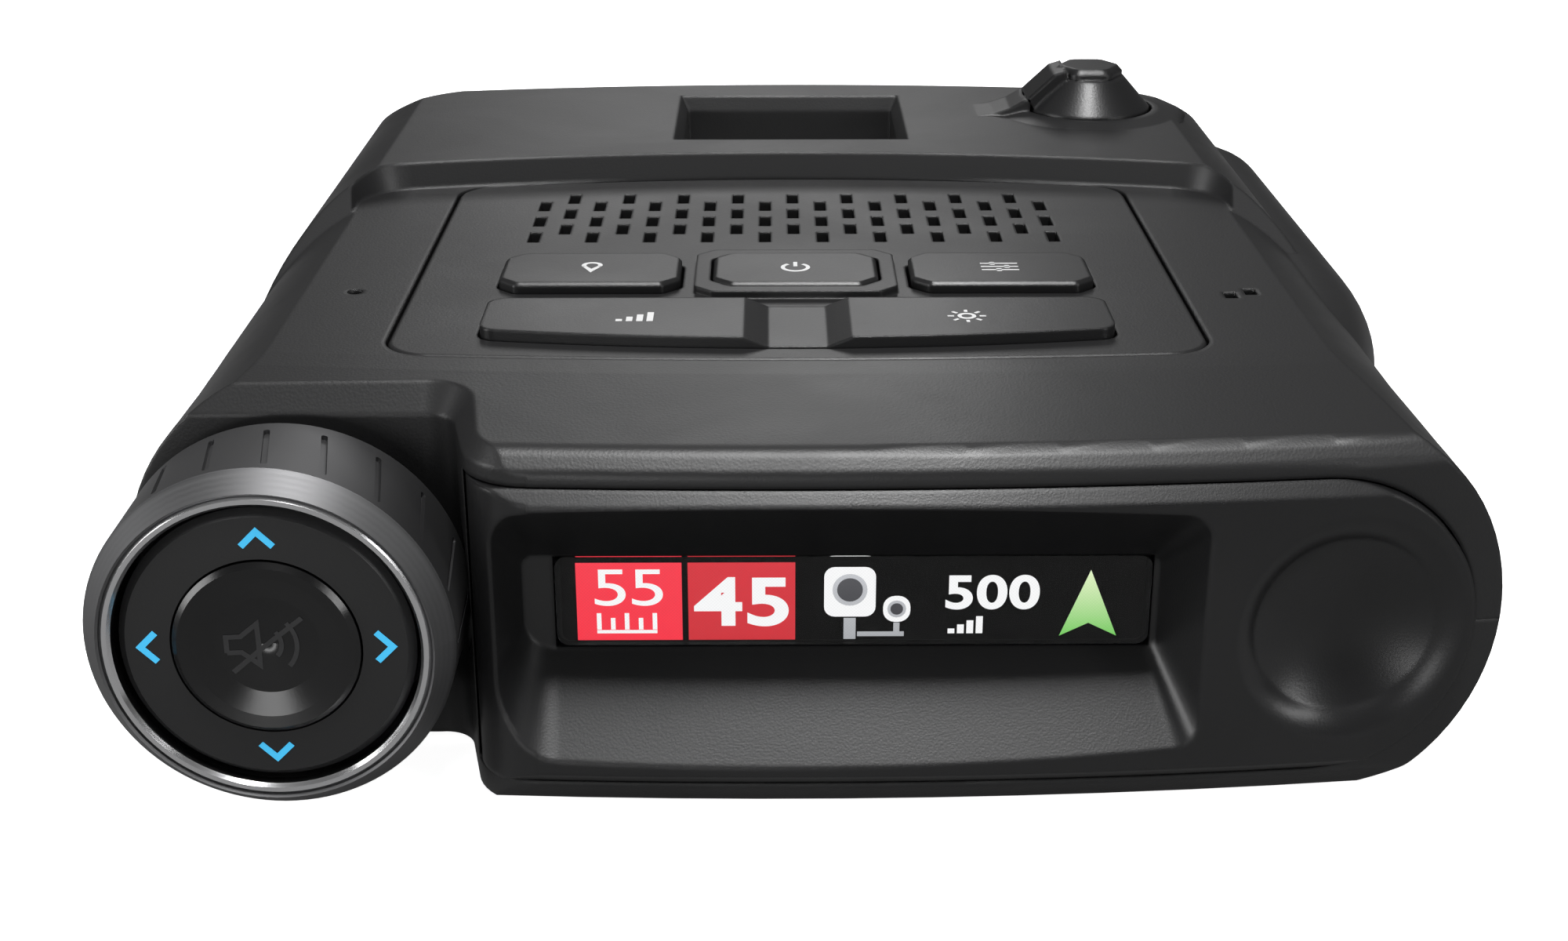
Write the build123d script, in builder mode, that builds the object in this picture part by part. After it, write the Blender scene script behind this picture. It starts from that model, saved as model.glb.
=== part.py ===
from build123d import *
import os
from math import asin, cos, degrees, radians, sin

os.makedirs("parts", exist_ok=True)

# Windscreen radar detector with a dial, a keypad and a camera turret. Millimetres.
# Z = 0 is the flat underside, +Z up. The dial and display face -Y, the lenses face +Y.

# Case form
LENGTH_REAR = 56.0          # rear face on the centreline
SHELL_FRONT = -54.9         # front rim of the shells on the centreline
CONSOLE_FRONT = -41.1       # where the flat console starts to fall to the front
CONSOLE_Z = 25.8            # flat top that carries the keypad
HUMP_Z = 28.0               # raised rear deck
SPLIT_Z = 12.1              # parting line of the two shells
WALL = 1.8
SIDE_X = 33.2               # centre of the elliptic side
SIDE_RX = 11.6
SIDE_Z = 12.6               # height of the widest point
SIDE_TOP_RZ = 13.7
DECK_X = 35.4               # half width of the flat deck
DECK_BULGE_X = 40.0         # half width of the deck a little below its top
DECK_FOOT_X = 42.6          # half width at the root, inside the case
DECK_ROOT = 19.0
SIDE_LOW_RZ = 13.4
FRONT_R = 315.0             # plan bow of the front
STEP_R = 150.0              # plan bow of the step up to the deck
STEP_Y = 7.7
REAR_R = 192.0              # plan bow of the rear edge
DECK_REAR = 35.6            # rear edge of the deck
PLAN_REAR = 57.0            # rear of the plan rectangle whose corners are rounded
CORNER_R = 19.0
PLAN_SPARE = 2.2            # the plan rectangle stands this far outside the widest line
FLARE = 0.9                 # the sides widen by this much at the front rim
FLARE_START = -36.0
SEAM_FRONT = -60.0          # the forms start this far forward and are then bowed
PLATEAU_X = 36.6            # half width of the flat console in front of the deck
PLATEAU_R = 5.0
FADE_REAR = 2.6             # the flanks of the deck fade out between these two places
FADE_FRONT = -14.0
DECK_CORNER = (27.0, 24.0)  # axis of the cone that rounds each rear corner of the deck
DECK_CORNER_R = 10.2
CORNER_SLOPE = 2.0          # the cone widens by this much for each step down
NOTCH_EDGE = 23.7           # the edge of the dial recess is chamfered above this height

# Dial
DIAL_X = -33.7
DIAL_Z = 12.2
DIAL_R = 11.8
DIAL_REAR = -47.2
POCKET_Y = -44.6            # wall of the recess behind the dial
RUN = 0.05                  # radial running clearance

# Bezel and display
BEZEL_FRONT = -55.8
BEZEL_REAR = -48.0
BEZEL_LOW = 1.9
BEZEL_HIGH = 22.5
BEZEL_LEFT = -21.2
GLASS_Y = -49.8
GLASS_X = (-16.0, 23.0)
GLASS_Z = (9.2, 15.8)
DISH_X = 35.1               # thumb dish at the right end
DISH_Z = 12.3
DISH_DEPTH = 2.5

# Keypad
PANEL_X = 28.3
PANEL_FRONT = -39.8
PANEL_REAR = 7.6
PANEL_T = 1.2
KEY_RISE = 0.8
KEY_FRONT = -25.2
KEY_REAR = -17.4
KEY_GAP = 0.2
BAR_FRONT = -36.6
BAR_REAR = -28.7
BAR_X = 22.1
BAR_PIVOT_Z = 23.9
SLOT_PITCH = 2.3
SLOT_W = 0.9
SLOT_L = 2.9
SLOT_FRONT = -10.5

# Windscreen mount pocket and camera turret
MOUNT_X = 10.5
MOUNT_Y = (13.0, 30.8)
MOUNT_FLOOR = 22.3
CAMERA_X = 28.0
CAMERA_Y = 24.5
CAMERA_Z = 27.0
TURRET_TOP = 32.3
TURRET_R = 5.8              # radius of the turret where it leaves its collar
STAY_W = 4.8                # width of the stay up its left side

# Connector block on the right side
BLOCK_X = 45.5
BLOCK_R = 4.6
BLOCK_LOW = 1.6
BLOCK_HIGH = 23.6
POWER_Y = 19.0
AUDIO_Y = 7.0
USB_Y = -3.0
CARD_Y = -14.5


def save(builder, label):
    builder.part.label = label
    export_step(builder.part, f"parts/{label}.step")


def side_section(inset, place, flare=0.0):
    """Closed X-Z outline of the case at one Y: flat top and bottom joined by elliptic sides."""
    rx = SIDE_RX - inset + flare
    low_rz = SIDE_LOW_RZ - inset
    high_rz = SIDE_TOP_RZ - inset
    low_angle = degrees(asin((SIDE_Z - inset) / low_rz))
    top = CONSOLE_Z - inset
    high_angle = degrees(asin((top - SIDE_Z) / high_rz))
    with BuildSketch(Plane.XZ.offset(-place)) as outline:
        with BuildLine():
            low = EllipticalCenterArc((SIDE_X, SIDE_Z), rx, low_rz, -low_angle, arc_size=low_angle)
            high = EllipticalCenterArc((SIDE_X, SIDE_Z), rx, high_rz, 0, arc_size=high_angle)
            Line((0, inset), low @ 0)
            Line(high @ 1, (0, top))
            mirror(about=Plane.YZ)
        make_face()
    return outline.sketch


def deck_section(inset):
    """Closed X-Z outline of the raised deck; its flanks run down into the sides of the case."""
    top = HUMP_Z - inset
    with BuildSketch(Plane.XZ.offset(60)) as outline:
        with BuildLine():
            flank = Line((0, DECK_ROOT), (DECK_FOOT_X - inset, DECK_ROOT))
            shoulder = ThreePointArc(flank @ 1, (DECK_BULGE_X - inset, 25.0 - inset), (DECK_X - inset, top))
            Line(shoulder @ 1, (0, top))
            mirror(about=Plane.YZ)
        make_face()
    return outline.sketch


def ring_cut(points, axis_y, rounds=None):
    """Solid of revolution about a vertical axis, used to bow an end; rounds maps corners to radii."""
    with BuildPart() as ring:
        with BuildSketch(Plane.YZ) as profile:
            with BuildLine():
                Polyline(*points, close=True)
            make_face()
            for corner, radius in (rounds or {}).items():
                y, z = points[corner]
                fillet(profile.vertices().sort_by_distance((y, z, 0))[0], radius)
        revolve(axis=Axis((0, axis_y, 0), (0, 0, 1)))
    return ring.part


def notch_outline(place, grow):
    """Plan of the recess the dial stands in: a rear wall, an inner corner and an S-shaped end."""
    rear = POCKET_Y + grow
    lag = 0.2 * grow
    with BuildSketch(Plane.XY.offset(place)) as outline:
        with BuildLine():
            Polyline((-17.0, -54.4 + grow), (-17.0, -75), (-70, -75), (-70, rear), (-24.9, rear))
            RadiusArc((-24.9, rear), (-22.4 + grow, -46.4 + lag), 2.2 + grow)
            Line((-22.4 + grow, -46.4 + lag), (-21.5 + grow, -50.6 + lag))
            RadiusArc((-21.5 + grow, -50.6 + lag), (-17.0, -54.4 + grow), grow - 4.6)
        make_face()
    return outline.sketch


def dial_pocket(wall):
    """Full-height notch at the left front that the dial stands in, grown by wall."""
    with BuildPart() as notch:
        add(notch_outline(-2, wall))
        extrude(amount=40)
    return notch.part


def deck_solid(inset):
    """Raised rear deck. Outside, its flanks fade out beside the console instead of ending in a wall."""
    top = CONSOLE_Z - inset
    deck = HUMP_Z - inset
    step = STEP_Y + inset
    side_y = STEP_Y - PLATEAU_X ** 2 / (2 * STEP_R)
    with BuildPart() as solid:
        extrude(deck_section(inset), amount=120, dir=(0, 1, 0))
        if inset:
            add(
                ring_cut([(step, -5), (step, top), (step + 0.9, deck), (step + 0.9, 40), (-75, 40), (-75, -5)],
                         STEP_Y - STEP_R),
                mode=Mode.SUBTRACT,
            )
        else:
            with BuildPart(mode=Mode.PRIVATE) as plateau:
                with BuildSketch(Plane.XY.offset(CONSOLE_Z)) as plan:
                    with BuildLine():
                        ThreePointArc((-PLATEAU_X, side_y), (0, STEP_Y), (PLATEAU_X, side_y))
                        Polyline((PLATEAU_X, side_y), (PLATEAU_X, -75), (-PLATEAU_X, -75), (-PLATEAU_X, side_y))
                    make_face()
                    fillet(plan.vertices().group_by(Axis.Y)[-1], PLATEAU_R)
                extrude(amount=6, taper=-20)
            add(plateau.part, mode=Mode.SUBTRACT)
            with BuildSketch(Plane.YZ.offset(-60)):
                with BuildLine():
                    Polyline((FADE_REAR, HUMP_Z + 0.3), (FADE_FRONT, 21.0), (FADE_FRONT, 15.0), (-75, 15.0), (-75, 40),
                             (FADE_REAR, 40), close=True)
                make_face()
            extrude(amount=120, mode=Mode.SUBTRACT)
    return solid.part


def deck_corner(side, inset):
    """Everything outside the cone that rounds one rear corner of the deck."""
    x, y = DECK_CORNER
    low, height = 20.0, 12.0
    low_r = DECK_CORNER_R - inset + CORNER_SLOPE * (HUMP_Z - low)
    high_r = low_r - CORNER_SLOPE * height
    with BuildPart() as corner:
        with Locations((side * (x + 20), y + 25, low)):
            Box(40, 50, height, align=(Align.CENTER, Align.CENTER, Align.MIN))
        with Locations((side * x, y, low)):
            Cone(low_r, high_r, height, align=(Align.CENTER, Align.CENTER, Align.MIN), mode=Mode.SUBTRACT)
    return corner.part


def case_form(inset):
    """The outer form of the case, or the same form moved inwards by inset."""
    front = SHELL_FRONT + inset
    slope = CONSOLE_FRONT + inset
    rear = LENGTH_REAR - inset
    top = CONSOLE_Z - inset
    deck = HUMP_Z - inset
    with BuildPart() as form:
        extrude(side_section(inset, FLARE_START), amount=120, dir=(0, 1, 0))
        add(side_section(inset, FLARE_START))
        add(side_section(inset, SEAM_FRONT, FLARE))
        loft()
        add(deck_solid(inset))
        add(
            ring_cut([(slope + 1.0, top), (slope - 1.4, top - 0.09), (front + 1.3, top - 1.0), (front, top - 2.3),
                      (front, inset + 1.6), (front + 1.1, inset), (front + 1.1, -5), (-80, -5), (-80, 40),
                      (slope + 1.0, 40)],
                     CONSOLE_FRONT + FRONT_R, {2: 1.6, 3: 0.9, 4: 1.0}),
            mode=Mode.SUBTRACT,
        )
        add(
            ring_cut([(DECK_REAR - inset, deck), (rear - 4.5, 20.0 - inset), (rear, 15.5 - inset),
                      (rear, inset + 3.0), (rear - 1.5, inset), (rear - 1.5, -5), (75, -5), (75, 40),
                      (DECK_REAR - inset, 40)],
                     DECK_REAR - REAR_R),
            mode=Mode.SUBTRACT,
        )
        for side in (-1, 1):
            add(deck_corner(side, inset), mode=Mode.SUBTRACT)
        with BuildSketch(Plane.XY.offset(-2)) as plan:
            with Locations((0, PLAN_REAR - inset - 75)):
                Rectangle(2 * (SIDE_X + SIDE_RX + PLAN_SPARE - inset), 150)
            fillet(plan.vertices().group_by(Axis.Y)[-1], CORNER_R)
        extrude(amount=40, mode=Mode.INTERSECT)
    return form.part


def block(x, y, z):
    """Plain box from three (low, high) pairs."""
    with BuildPart() as solid:
        with BuildSketch(Plane.XY.offset(z[0])):
            with Locations(((x[0] + x[1]) / 2, (y[0] + y[1]) / 2)):
                Rectangle(x[1] - x[0], y[1] - y[0])
        extrude(amount=z[1] - z[0])
    return solid.part


def rod(x, y, z, radius, length, axis="Z"):
    """Plain round bar that starts at a point and runs along an axis."""
    planes = {
        "X": Plane((x, y, z), x_dir=(0, 1, 0), z_dir=(1, 0, 0)),
        "Y": Plane((x, y, z), x_dir=(1, 0, 0), z_dir=(0, 1, 0)),
        "Z": Plane((x, y, z)),
    }
    with BuildPart() as solid:
        with BuildSketch(planes[axis]):
            Circle(radius)
        extrude(amount=length)
    return solid.part


def bowed_outline(half_x, front, rear, front_bow, rear_bow, corner):
    """Plan outline with straight sides and bowed front and rear edges."""
    with BuildSketch() as outline:
        with BuildLine():
            ThreePointArc((-half_x, front + front_bow), (0, front), (half_x, front + front_bow))
            Line((half_x, front + front_bow), (half_x, rear - rear_bow))
            ThreePointArc((half_x, rear - rear_bow), (0, rear), (-half_x, rear - rear_bow))
            Line((-half_x, rear - rear_bow), (-half_x, front + front_bow))
        make_face()
        fillet(outline.vertices(), corner)
    return outline.sketch


def raised(outline, low, high, grow=0.0):
    """Plan outline, grown by a margin, extruded between two heights."""
    with BuildPart() as solid:
        with BuildSketch(Plane.XY.offset(low)):
            add(outline)
            if grow:
                offset(amount=grow)
        extrude(amount=high - low)
    return solid.part


def bezel_outline(margin):
    """Front view of the bezel: square at the dial, elliptic at the right."""
    mid = (BEZEL_LOW + BEZEL_HIGH) / 2
    half = (BEZEL_HIGH - BEZEL_LOW) / 2 + margin
    with BuildPart() as plate:
        with BuildSketch(Plane.XZ.offset(62)):
            with BuildLine():
                tip = EllipticalCenterArc((33.0, mid), 10.4 + margin, half, -90, arc_size=180)
                Polyline(tip @ 1, (BEZEL_LEFT - margin, mid + half), (BEZEL_LEFT - margin, mid - half), tip @ 0)
            make_face()
        extrude(amount=BEZEL_REAR + 62, dir=(0, 1, 0))
    return plate.part


# Forms that several pieces are cut from
pocket_void = dial_pocket(0)
cavity_pocket = dial_pocket(WALL)
dial_sweep = rod(DIAL_X, -62, DIAL_Z, DIAL_R + 0.55, 15.6, "Y")
outer = case_form(0)
with BuildPart() as room:
    add(case_form(WALL))
    add(cavity_pocket, mode=Mode.SUBTRACT)
cavity = room.part
panel_outline = bowed_outline(PANEL_X, PANEL_FRONT, PANEL_REAR, 1.2, 3.0, 3.2)
window_zone = block((-30.5, 30.5), (45, 60), (3.4, 15.6))

# Connector block on the right side, part of both shells
with BuildPart() as port_block:
    with BuildSketch(Plane.XY.offset(BLOCK_LOW)):
        with BuildLine():
            ThreePointArc((38.97, -36.0), (BLOCK_X - 0.92, -20.0), (BLOCK_X, -10.0))
            Line((BLOCK_X, -10.0), (BLOCK_X, 25.0))
            ThreePointArc((BLOCK_X, 25.0), (BLOCK_X - 1.5, 30.6), (37.0, 35.5))
            Polyline((37.0, 35.5), (34.5, 35.5), (34.5, -36.0), (38.97, -36.0))
        make_face()
    extrude(amount=BLOCK_HIGH - BLOCK_LOW)
    rims = port_block.faces().filter_by(Axis.Z).edges().filter_by_position(Axis.X, 38.0, BLOCK_X + 1)
    fillet(rims, BLOCK_R)

with BuildPart() as solid_case:
    add(outer)
    add(port_block.part)
    add(pocket_void, mode=Mode.SUBTRACT)
    add(notch_outline(NOTCH_EDGE, 0))
    add(notch_outline(NOTCH_EDGE + 2.5, 1.9))
    loft(mode=Mode.SUBTRACT)
    add(dial_sweep, mode=Mode.SUBTRACT)
case_solid = solid_case.part

# Screw posts shared by the two shells: x, y
POSTS = [(-33.5, -36.0), (33.5, -41.0), (-33.5, 36.0), (33.5, 36.0)]
SCREW_R = 1.1

# Ports in the connector block
PORT_Z = 8.0
PORT_CUTS = [
    block((34, 48), (POWER_Y - 5.4, POWER_Y + 5.4), (PORT_Z - 1.9, PORT_Z + 4.0)),
    rod(34, AUDIO_Y, PORT_Z, 3.1, 14, "X"),
    block((34, 48), (USB_Y - 4.1, USB_Y + 4.1), (PORT_Z - 1.7, PORT_Z + 1.7)),
    block((34, 48), (CARD_Y - 6.1, CARD_Y + 6.1), (PORT_Z - 0.9, PORT_Z + 0.9)),
]

# ---------------------------------------------------------------- case
with BuildPart() as top_shell:
    add(case_solid)
    add(cavity, mode=Mode.SUBTRACT)
    with BuildSketch(Plane.XY.offset(18.0)):
        with Locations((0, sum(MOUNT_Y) / 2)):
            Rectangle(2 * MOUNT_X + 3.0, MOUNT_Y[1] - MOUNT_Y[0] + 3.0)
    extrude(amount=HUMP_Z - 1.0 - 18.0)
    with Locations([Location((x, y, SPLIT_Z)) for x, y in POSTS]):
        Cylinder(2.7, 12.5, align=(Align.CENTER, Align.CENTER, Align.MIN))
    split(bisect_by=Plane.XY.offset(SPLIT_Z), keep=Keep.TOP)
    # collar and opening of the camera turret
    with Locations((CAMERA_X, CAMERA_Y, HUMP_Z - 0.2)):
        Cone(TURRET_R + 3.4, TURRET_R + 0.9, 0.6, align=(Align.CENTER, Align.CENTER, Align.MIN))
    with BuildSketch(Plane.XZ.offset(STAY_W / 2 - CAMERA_Y)):
        with BuildLine():
            Polyline((CAMERA_X - 11.2, HUMP_Z - 0.1), (CAMERA_X - 9.0, HUMP_Z + 0.2), (CAMERA_X - 7.5, HUMP_Z + 0.7),
                     (CAMERA_X - 6.1, HUMP_Z + 1.5), (CAMERA_X - 5.0, HUMP_Z + 1.5), (CAMERA_X - 5.0, HUMP_Z - 0.1),
                     close=True)
        make_face()
    extrude(amount=-STAY_W)
    with BuildSketch(Plane.XY.offset(40)):
        with Locations((CAMERA_X, CAMERA_Y)):
            Circle(TURRET_R + 0.3)
    extrude(amount=-25, mode=Mode.SUBTRACT)
    # scoop in front of the lens
    with BuildSketch(Plane.XY.offset(24.6)):
        with BuildLine():
            Polyline((CAMERA_X - 3.6, CAMERA_Y + 3), (CAMERA_X + 3.6, CAMERA_Y + 3), (CAMERA_X + 6.5, 62),
                     (CAMERA_X - 6.5, 62), close=True)
        make_face()
    extrude(amount=10, mode=Mode.SUBTRACT)
    # pocket for the windscreen mount
    with BuildSketch(Plane.XY.offset(HUMP_Z + 0.01)):
        with Locations((0, sum(MOUNT_Y) / 2)):
            Rectangle(2 * MOUNT_X, MOUNT_Y[1] - MOUNT_Y[0])
    with BuildSketch(Plane.XY.offset(HUMP_Z - 1.4)):
        with Locations((0, sum(MOUNT_Y) / 2)):
            Rectangle(2 * MOUNT_X - 1.4, MOUNT_Y[1] - MOUNT_Y[0] - 1.4)
    loft(mode=Mode.SUBTRACT)
    with BuildSketch(Plane.XY.offset(HUMP_Z - 1.4)):
        with Locations((0, sum(MOUNT_Y) / 2)):
            Rectangle(2 * MOUNT_X - 1.4, MOUNT_Y[1] - MOUNT_Y[0] - 1.4)
    extrude(amount=MOUNT_FLOOR - HUMP_Z + 1.4, mode=Mode.SUBTRACT)
    # magnet seats under the pocket floor
    with Locations((-5, sum(MOUNT_Y) / 2, 18.0), (5, sum(MOUNT_Y) / 2, 18.0)):
        Cylinder(4.05, 3.05, align=(Align.CENTER, Align.CENTER, Align.MIN), mode=Mode.SUBTRACT)
    # keypad rebate and opening
    add(raised(panel_outline, CONSOLE_Z - PANEL_T, 40, 0.18), mode=Mode.SUBTRACT)
    add(raised(panel_outline, 15, 40, -1.2), mode=Mode.SUBTRACT)
    # bezel opening, rear window opening, ports and pinholes
    add(bezel_outline(0.12), mode=Mode.SUBTRACT)
    add(window_zone, mode=Mode.SUBTRACT)
    for cut in PORT_CUTS:
        add(cut, mode=Mode.SUBTRACT)
    with Locations((-32.5, -24.7, CONSOLE_Z)):
        Cylinder(0.6, 8, mode=Mode.SUBTRACT)
    with Locations((31.9, -25.9, CONSOLE_Z), (33.5, -25.1, CONSOLE_Z)):
        Box(0.95, 1.5, 8, mode=Mode.SUBTRACT)
    with Locations([Location((x, y, SPLIT_Z)) for x, y in POSTS]):
        Cylinder(SCREW_R + RUN, 14, mode=Mode.SUBTRACT)
save(top_shell, "top_shell")

with BuildPart() as bottom_shell:
    add(case_solid)
    add(cavity, mode=Mode.SUBTRACT)
    with Locations([Location((x, y, 0.5)) for x, y in POSTS]):
        Cylinder(3.6, SPLIT_Z - 0.5, align=(Align.CENTER, Align.CENTER, Align.MIN))
    split(bisect_by=Plane.XY.offset(SPLIT_Z), keep=Keep.BOTTOM)
    with Locations([Location((x, y, 1.7)) for x, y in [(-24, -30), (24, -30), (-24, 22), (24, 22)]]):
        Cylinder(2.2, 3.3, align=(Align.CENTER, Align.CENTER, Align.MIN))
    add(bezel_outline(0.12), mode=Mode.SUBTRACT)
    add(window_zone, mode=Mode.SUBTRACT)
    for cut in PORT_CUTS:
        add(cut, mode=Mode.SUBTRACT)
    with Locations([Location((x, y, 0)) for x, y in POSTS]):
        Cylinder(SCREW_R + RUN, 40, mode=Mode.SUBTRACT)
        Cylinder(2.3, 4.0, mode=Mode.SUBTRACT)
save(bottom_shell, "bottom_shell")

with BuildPart() as rear_window:
    add(outer)
    add(case_form(1.6), mode=Mode.SUBTRACT)
    add(block((-30.4, 30.4), (46, 60), (3.5, 15.5)), mode=Mode.INTERSECT)
save(rear_window, "rear_window")

with BuildPart() as case_screws:
    with Locations([Location((x, y, 0.4)) for x, y in POSTS]):
        Cylinder(2.1, 1.4, align=(Align.CENTER, Align.CENTER, Align.MIN))
    with Locations([Location((x, y, 1.8)) for x, y in POSTS]):
        Cylinder(SCREW_R, 15.2, align=(Align.CENTER, Align.CENTER, Align.MIN))
    with Locations([Location((x, y, 0.4)) for x, y in POSTS]):
        Cylinder(0.9, 0.8, align=(Align.CENTER, Align.CENTER, Align.MIN), mode=Mode.SUBTRACT)
save(case_screws, "case_screws")

# ---------------------------------------------------------------- bezel and display
with BuildPart() as bezel_front:
    with BuildSketch(Plane.YZ):
        with BuildLine():
            Polyline((-75, -5), (BEZEL_FRONT + 0.9, -5), (BEZEL_FRONT + 0.9, BEZEL_LOW), (BEZEL_FRONT, BEZEL_LOW + 0.9),
                     (BEZEL_FRONT, BEZEL_HIGH - 0.9), (BEZEL_FRONT + 0.9, BEZEL_HIGH), (BEZEL_FRONT + 0.9, 30), (-75, 30),
                     close=True)
        make_face()
    revolve(axis=Axis((0, CONSOLE_FRONT + FRONT_R, 0), (0, 0, 1)))


def recess_outline(place, x, z, low_left, others):
    """Front view of the display recess at one depth, with a fuller curve at its lower left."""
    with BuildSketch(Plane.XZ.offset(place)) as outline:
        with BuildLine():
            Polyline((x[0], z[0]), (x[1], z[0]), (x[1], z[1]), (x[0], z[1]), close=True)
        make_face()
        fillet(outline.vertices().sort_by(Axis.X)[-2:], others)
        fillet(outline.vertices().sort_by_distance((x[0], z[1], 0))[0], others)
        fillet(outline.vertices().sort_by_distance((x[0], z[0], 0))[0], low_left)
    return outline.sketch


# thumb dish, cut square to the bowed face, with a rolled lip
dish_y = BEZEL_FRONT + DISH_X ** 2 / (2 * FRONT_R)
lean = DISH_X / FRONT_R
dish_plane = Plane((DISH_X, dish_y, DISH_Z), x_dir=(cos(lean), sin(lean), 0), z_dir=(sin(lean), -cos(lean), 0))
with BuildPart() as dish:
    with BuildSketch(Plane.XZ):
        with BuildLine():
            ThreePointArc((0, -DISH_DEPTH), (3.4, -DISH_DEPTH + 0.55), (6.0, -DISH_DEPTH + 1.6))
            ThreePointArc((6.0, -DISH_DEPTH + 1.6), (6.9, -0.25), (8.2, 0.12))
            Polyline((8.2, 0.12), (8.2, 4.0), (0, 4.0), (0, -DISH_DEPTH))
        make_face()
    revolve(axis=Axis.Z)

with BuildPart() as front_bezel:
    add(bezel_outline(0))
    add(bezel_front.part, mode=Mode.SUBTRACT)
    with BuildSketch(Plane.XY.offset(-2)):
        with BuildLine():
            Polyline((-17.0, -55.25), (-17.0, -75), (-70, -75), (-70, -30), (BEZEL_LEFT, -30), (BEZEL_LEFT, -51.0))
            RadiusArc((BEZEL_LEFT, -51.0), (-17.0, -55.25), -4.6)
        make_face()
    extrude(amount=40, mode=Mode.SUBTRACT)
    add(dial_sweep, mode=Mode.SUBTRACT)
    # display recess, wide at the front
    add(recess_outline(-BEZEL_FRONT + 0.6, (-20.2, 26.4), (2.9, 22.3), 4.6, 2.0))
    add(recess_outline(-GLASS_Y, (-18.1, 23.4), (9.1, 15.9), 2.2, 0.8))
    loft(mode=Mode.SUBTRACT)
    # seat of the display window, from behind
    with BuildSketch(Plane.XZ.offset(-BEZEL_REAR)):
        with Locations((sum(GLASS_X) / 2, sum(GLASS_Z) / 2)):
            Rectangle(GLASS_X[1] - GLASS_X[0] + 0.2, GLASS_Z[1] - GLASS_Z[0])
    extrude(amount=4, mode=Mode.SUBTRACT)
    add(dish_plane.location * dish.part, mode=Mode.SUBTRACT)
save(front_bezel, "front_bezel")

glass_mid_x = sum(GLASS_X) / 2
glass_mid_z = sum(GLASS_Z) / 2
glass_w = GLASS_X[1] - GLASS_X[0]
glass_h = GLASS_Z[1] - GLASS_Z[0]

with BuildPart() as display_window:
    with BuildSketch(Plane.XZ.offset(-GLASS_Y - 0.1)):
        with Locations((glass_mid_x, glass_mid_z)):
            RectangleRounded(glass_w, glass_h - 0.2, 0.8)
    extrude(amount=-1.0)
save(display_window, "display_window")

with BuildPart() as display_gasket:
    with BuildSketch(Plane.XZ.offset(-GLASS_Y - 1.1)):
        with Locations((glass_mid_x, glass_mid_z)):
            RectangleRounded(glass_w, glass_h - 0.2, 0.8)
            Rectangle(glass_w - 3.0, glass_h - 1.6, mode=Mode.SUBTRACT)
    extrude(amount=-0.6)
save(display_gasket, "display_gasket")

with BuildPart() as display_panel:
    add(block((glass_mid_x - 20.5, glass_mid_x + 20.5), (BEZEL_REAR, BEZEL_REAR + 1.2), (6.8, 18.4)))
save(display_panel, "display_panel")

with BuildPart() as display_board:
    add(block((-17.5, 27.5), (BEZEL_REAR + 1.2, BEZEL_REAR + 2.2), (5.0, 20.0)))
    with Locations((0, BEZEL_REAR + 2.7, 12.0), (14, BEZEL_REAR + 2.7, 12.0)):
        Box(6, 1.2, 5)
save(display_board, "display_board")

# ---------------------------------------------------------------- dial
DIAL_WEB = (-48.7, DIAL_REAR)
HUB_R = 9.0
HUB_FRONT = -52.0
PIVOT_Y = -51.0
PIN_R = 0.45
TRIM_R = 10.5
PAD_R = 9.4
PAD_FACE = -55.5
MUTE_R = 5.93
GROOVES = 20
GROOVE_LEAN = 10.0


def turned(profile):
    """Solid of revolution about the dial axis; profile is (radius, y) points."""
    with BuildPart() as solid:
        with BuildSketch(Plane.YX):
            with BuildLine():
                Polyline(*[(y, r) for r, y in profile], close=True)
            make_face()
        revolve(axis=Axis.Y)
    return solid.part.moved(Location((DIAL_X, 0, DIAL_Z)))


with BuildPart() as dial_hub:
    add(turned([(HUB_R - 0.8, POCKET_Y), (HUB_R + 0.3, POCKET_Y), (HUB_R + 0.3, POCKET_Y - 1.0),
                (HUB_R, POCKET_Y - 1.0), (HUB_R, HUB_FRONT), (HUB_R - 0.8, HUB_FRONT)]))
    add(rod(DIAL_X, PIVOT_Y, DIAL_Z - 12, PIN_R + RUN, 24), mode=Mode.SUBTRACT)
save(dial_hub, "dial_hub")

with BuildPart() as grooves:
    groove_step = 360.0 / GROOVES
    for index in range(GROOVES):
        around = radians(index * groove_step)
        radial = Vector(cos(around), 0, sin(around))
        place = Plane(
            origin=Vector(DIAL_X, (DIAL_REAR - 54.5) / 2 - 0.1, DIAL_Z) + radial * (DIAL_R + 0.1),
            x_dir=Vector(0, 1, 0).rotate(Axis((0, 0, 0), tuple(radial)), GROOVE_LEAN),
            z_dir=radial,
        )
        with BuildSketch(place):
            SlotOverall(5.9, 0.42)
        extrude(amount=-0.42)

with BuildPart() as dial_ring:
    add(turned([(10.0, -55.0), (TRIM_R, -55.0), (TRIM_R, -55.85), (TRIM_R + 0.15, -56.0), (DIAL_R - 0.1, -54.65),
                (DIAL_R, -54.5), (DIAL_R, DIAL_REAR + 0.3), (DIAL_R - 0.3, DIAL_REAR),
                (HUB_R + RUN, DIAL_REAR), (HUB_R + RUN, DIAL_WEB[0]), (10.0, DIAL_WEB[0])]))
    add(grooves.part, mode=Mode.SUBTRACT)
save(dial_ring, "dial_ring")

with BuildPart() as dial_trim:
    add(turned([(9.75, -55.0), (9.75, -55.7), (9.95, -55.95), (10.25, -55.95), (TRIM_R, -55.7), (TRIM_R, -55.0)]))
save(dial_trim, "dial_trim")

with BuildPart() as encoder_wheel:
    add(turned([(HUB_R + 0.3, DIAL_REAR), (11.0, DIAL_REAR), (11.0, DIAL_REAR + 0.6), (HUB_R + 0.3, DIAL_REAR + 0.6)]))
save(encoder_wheel, "encoder_wheel")

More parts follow.
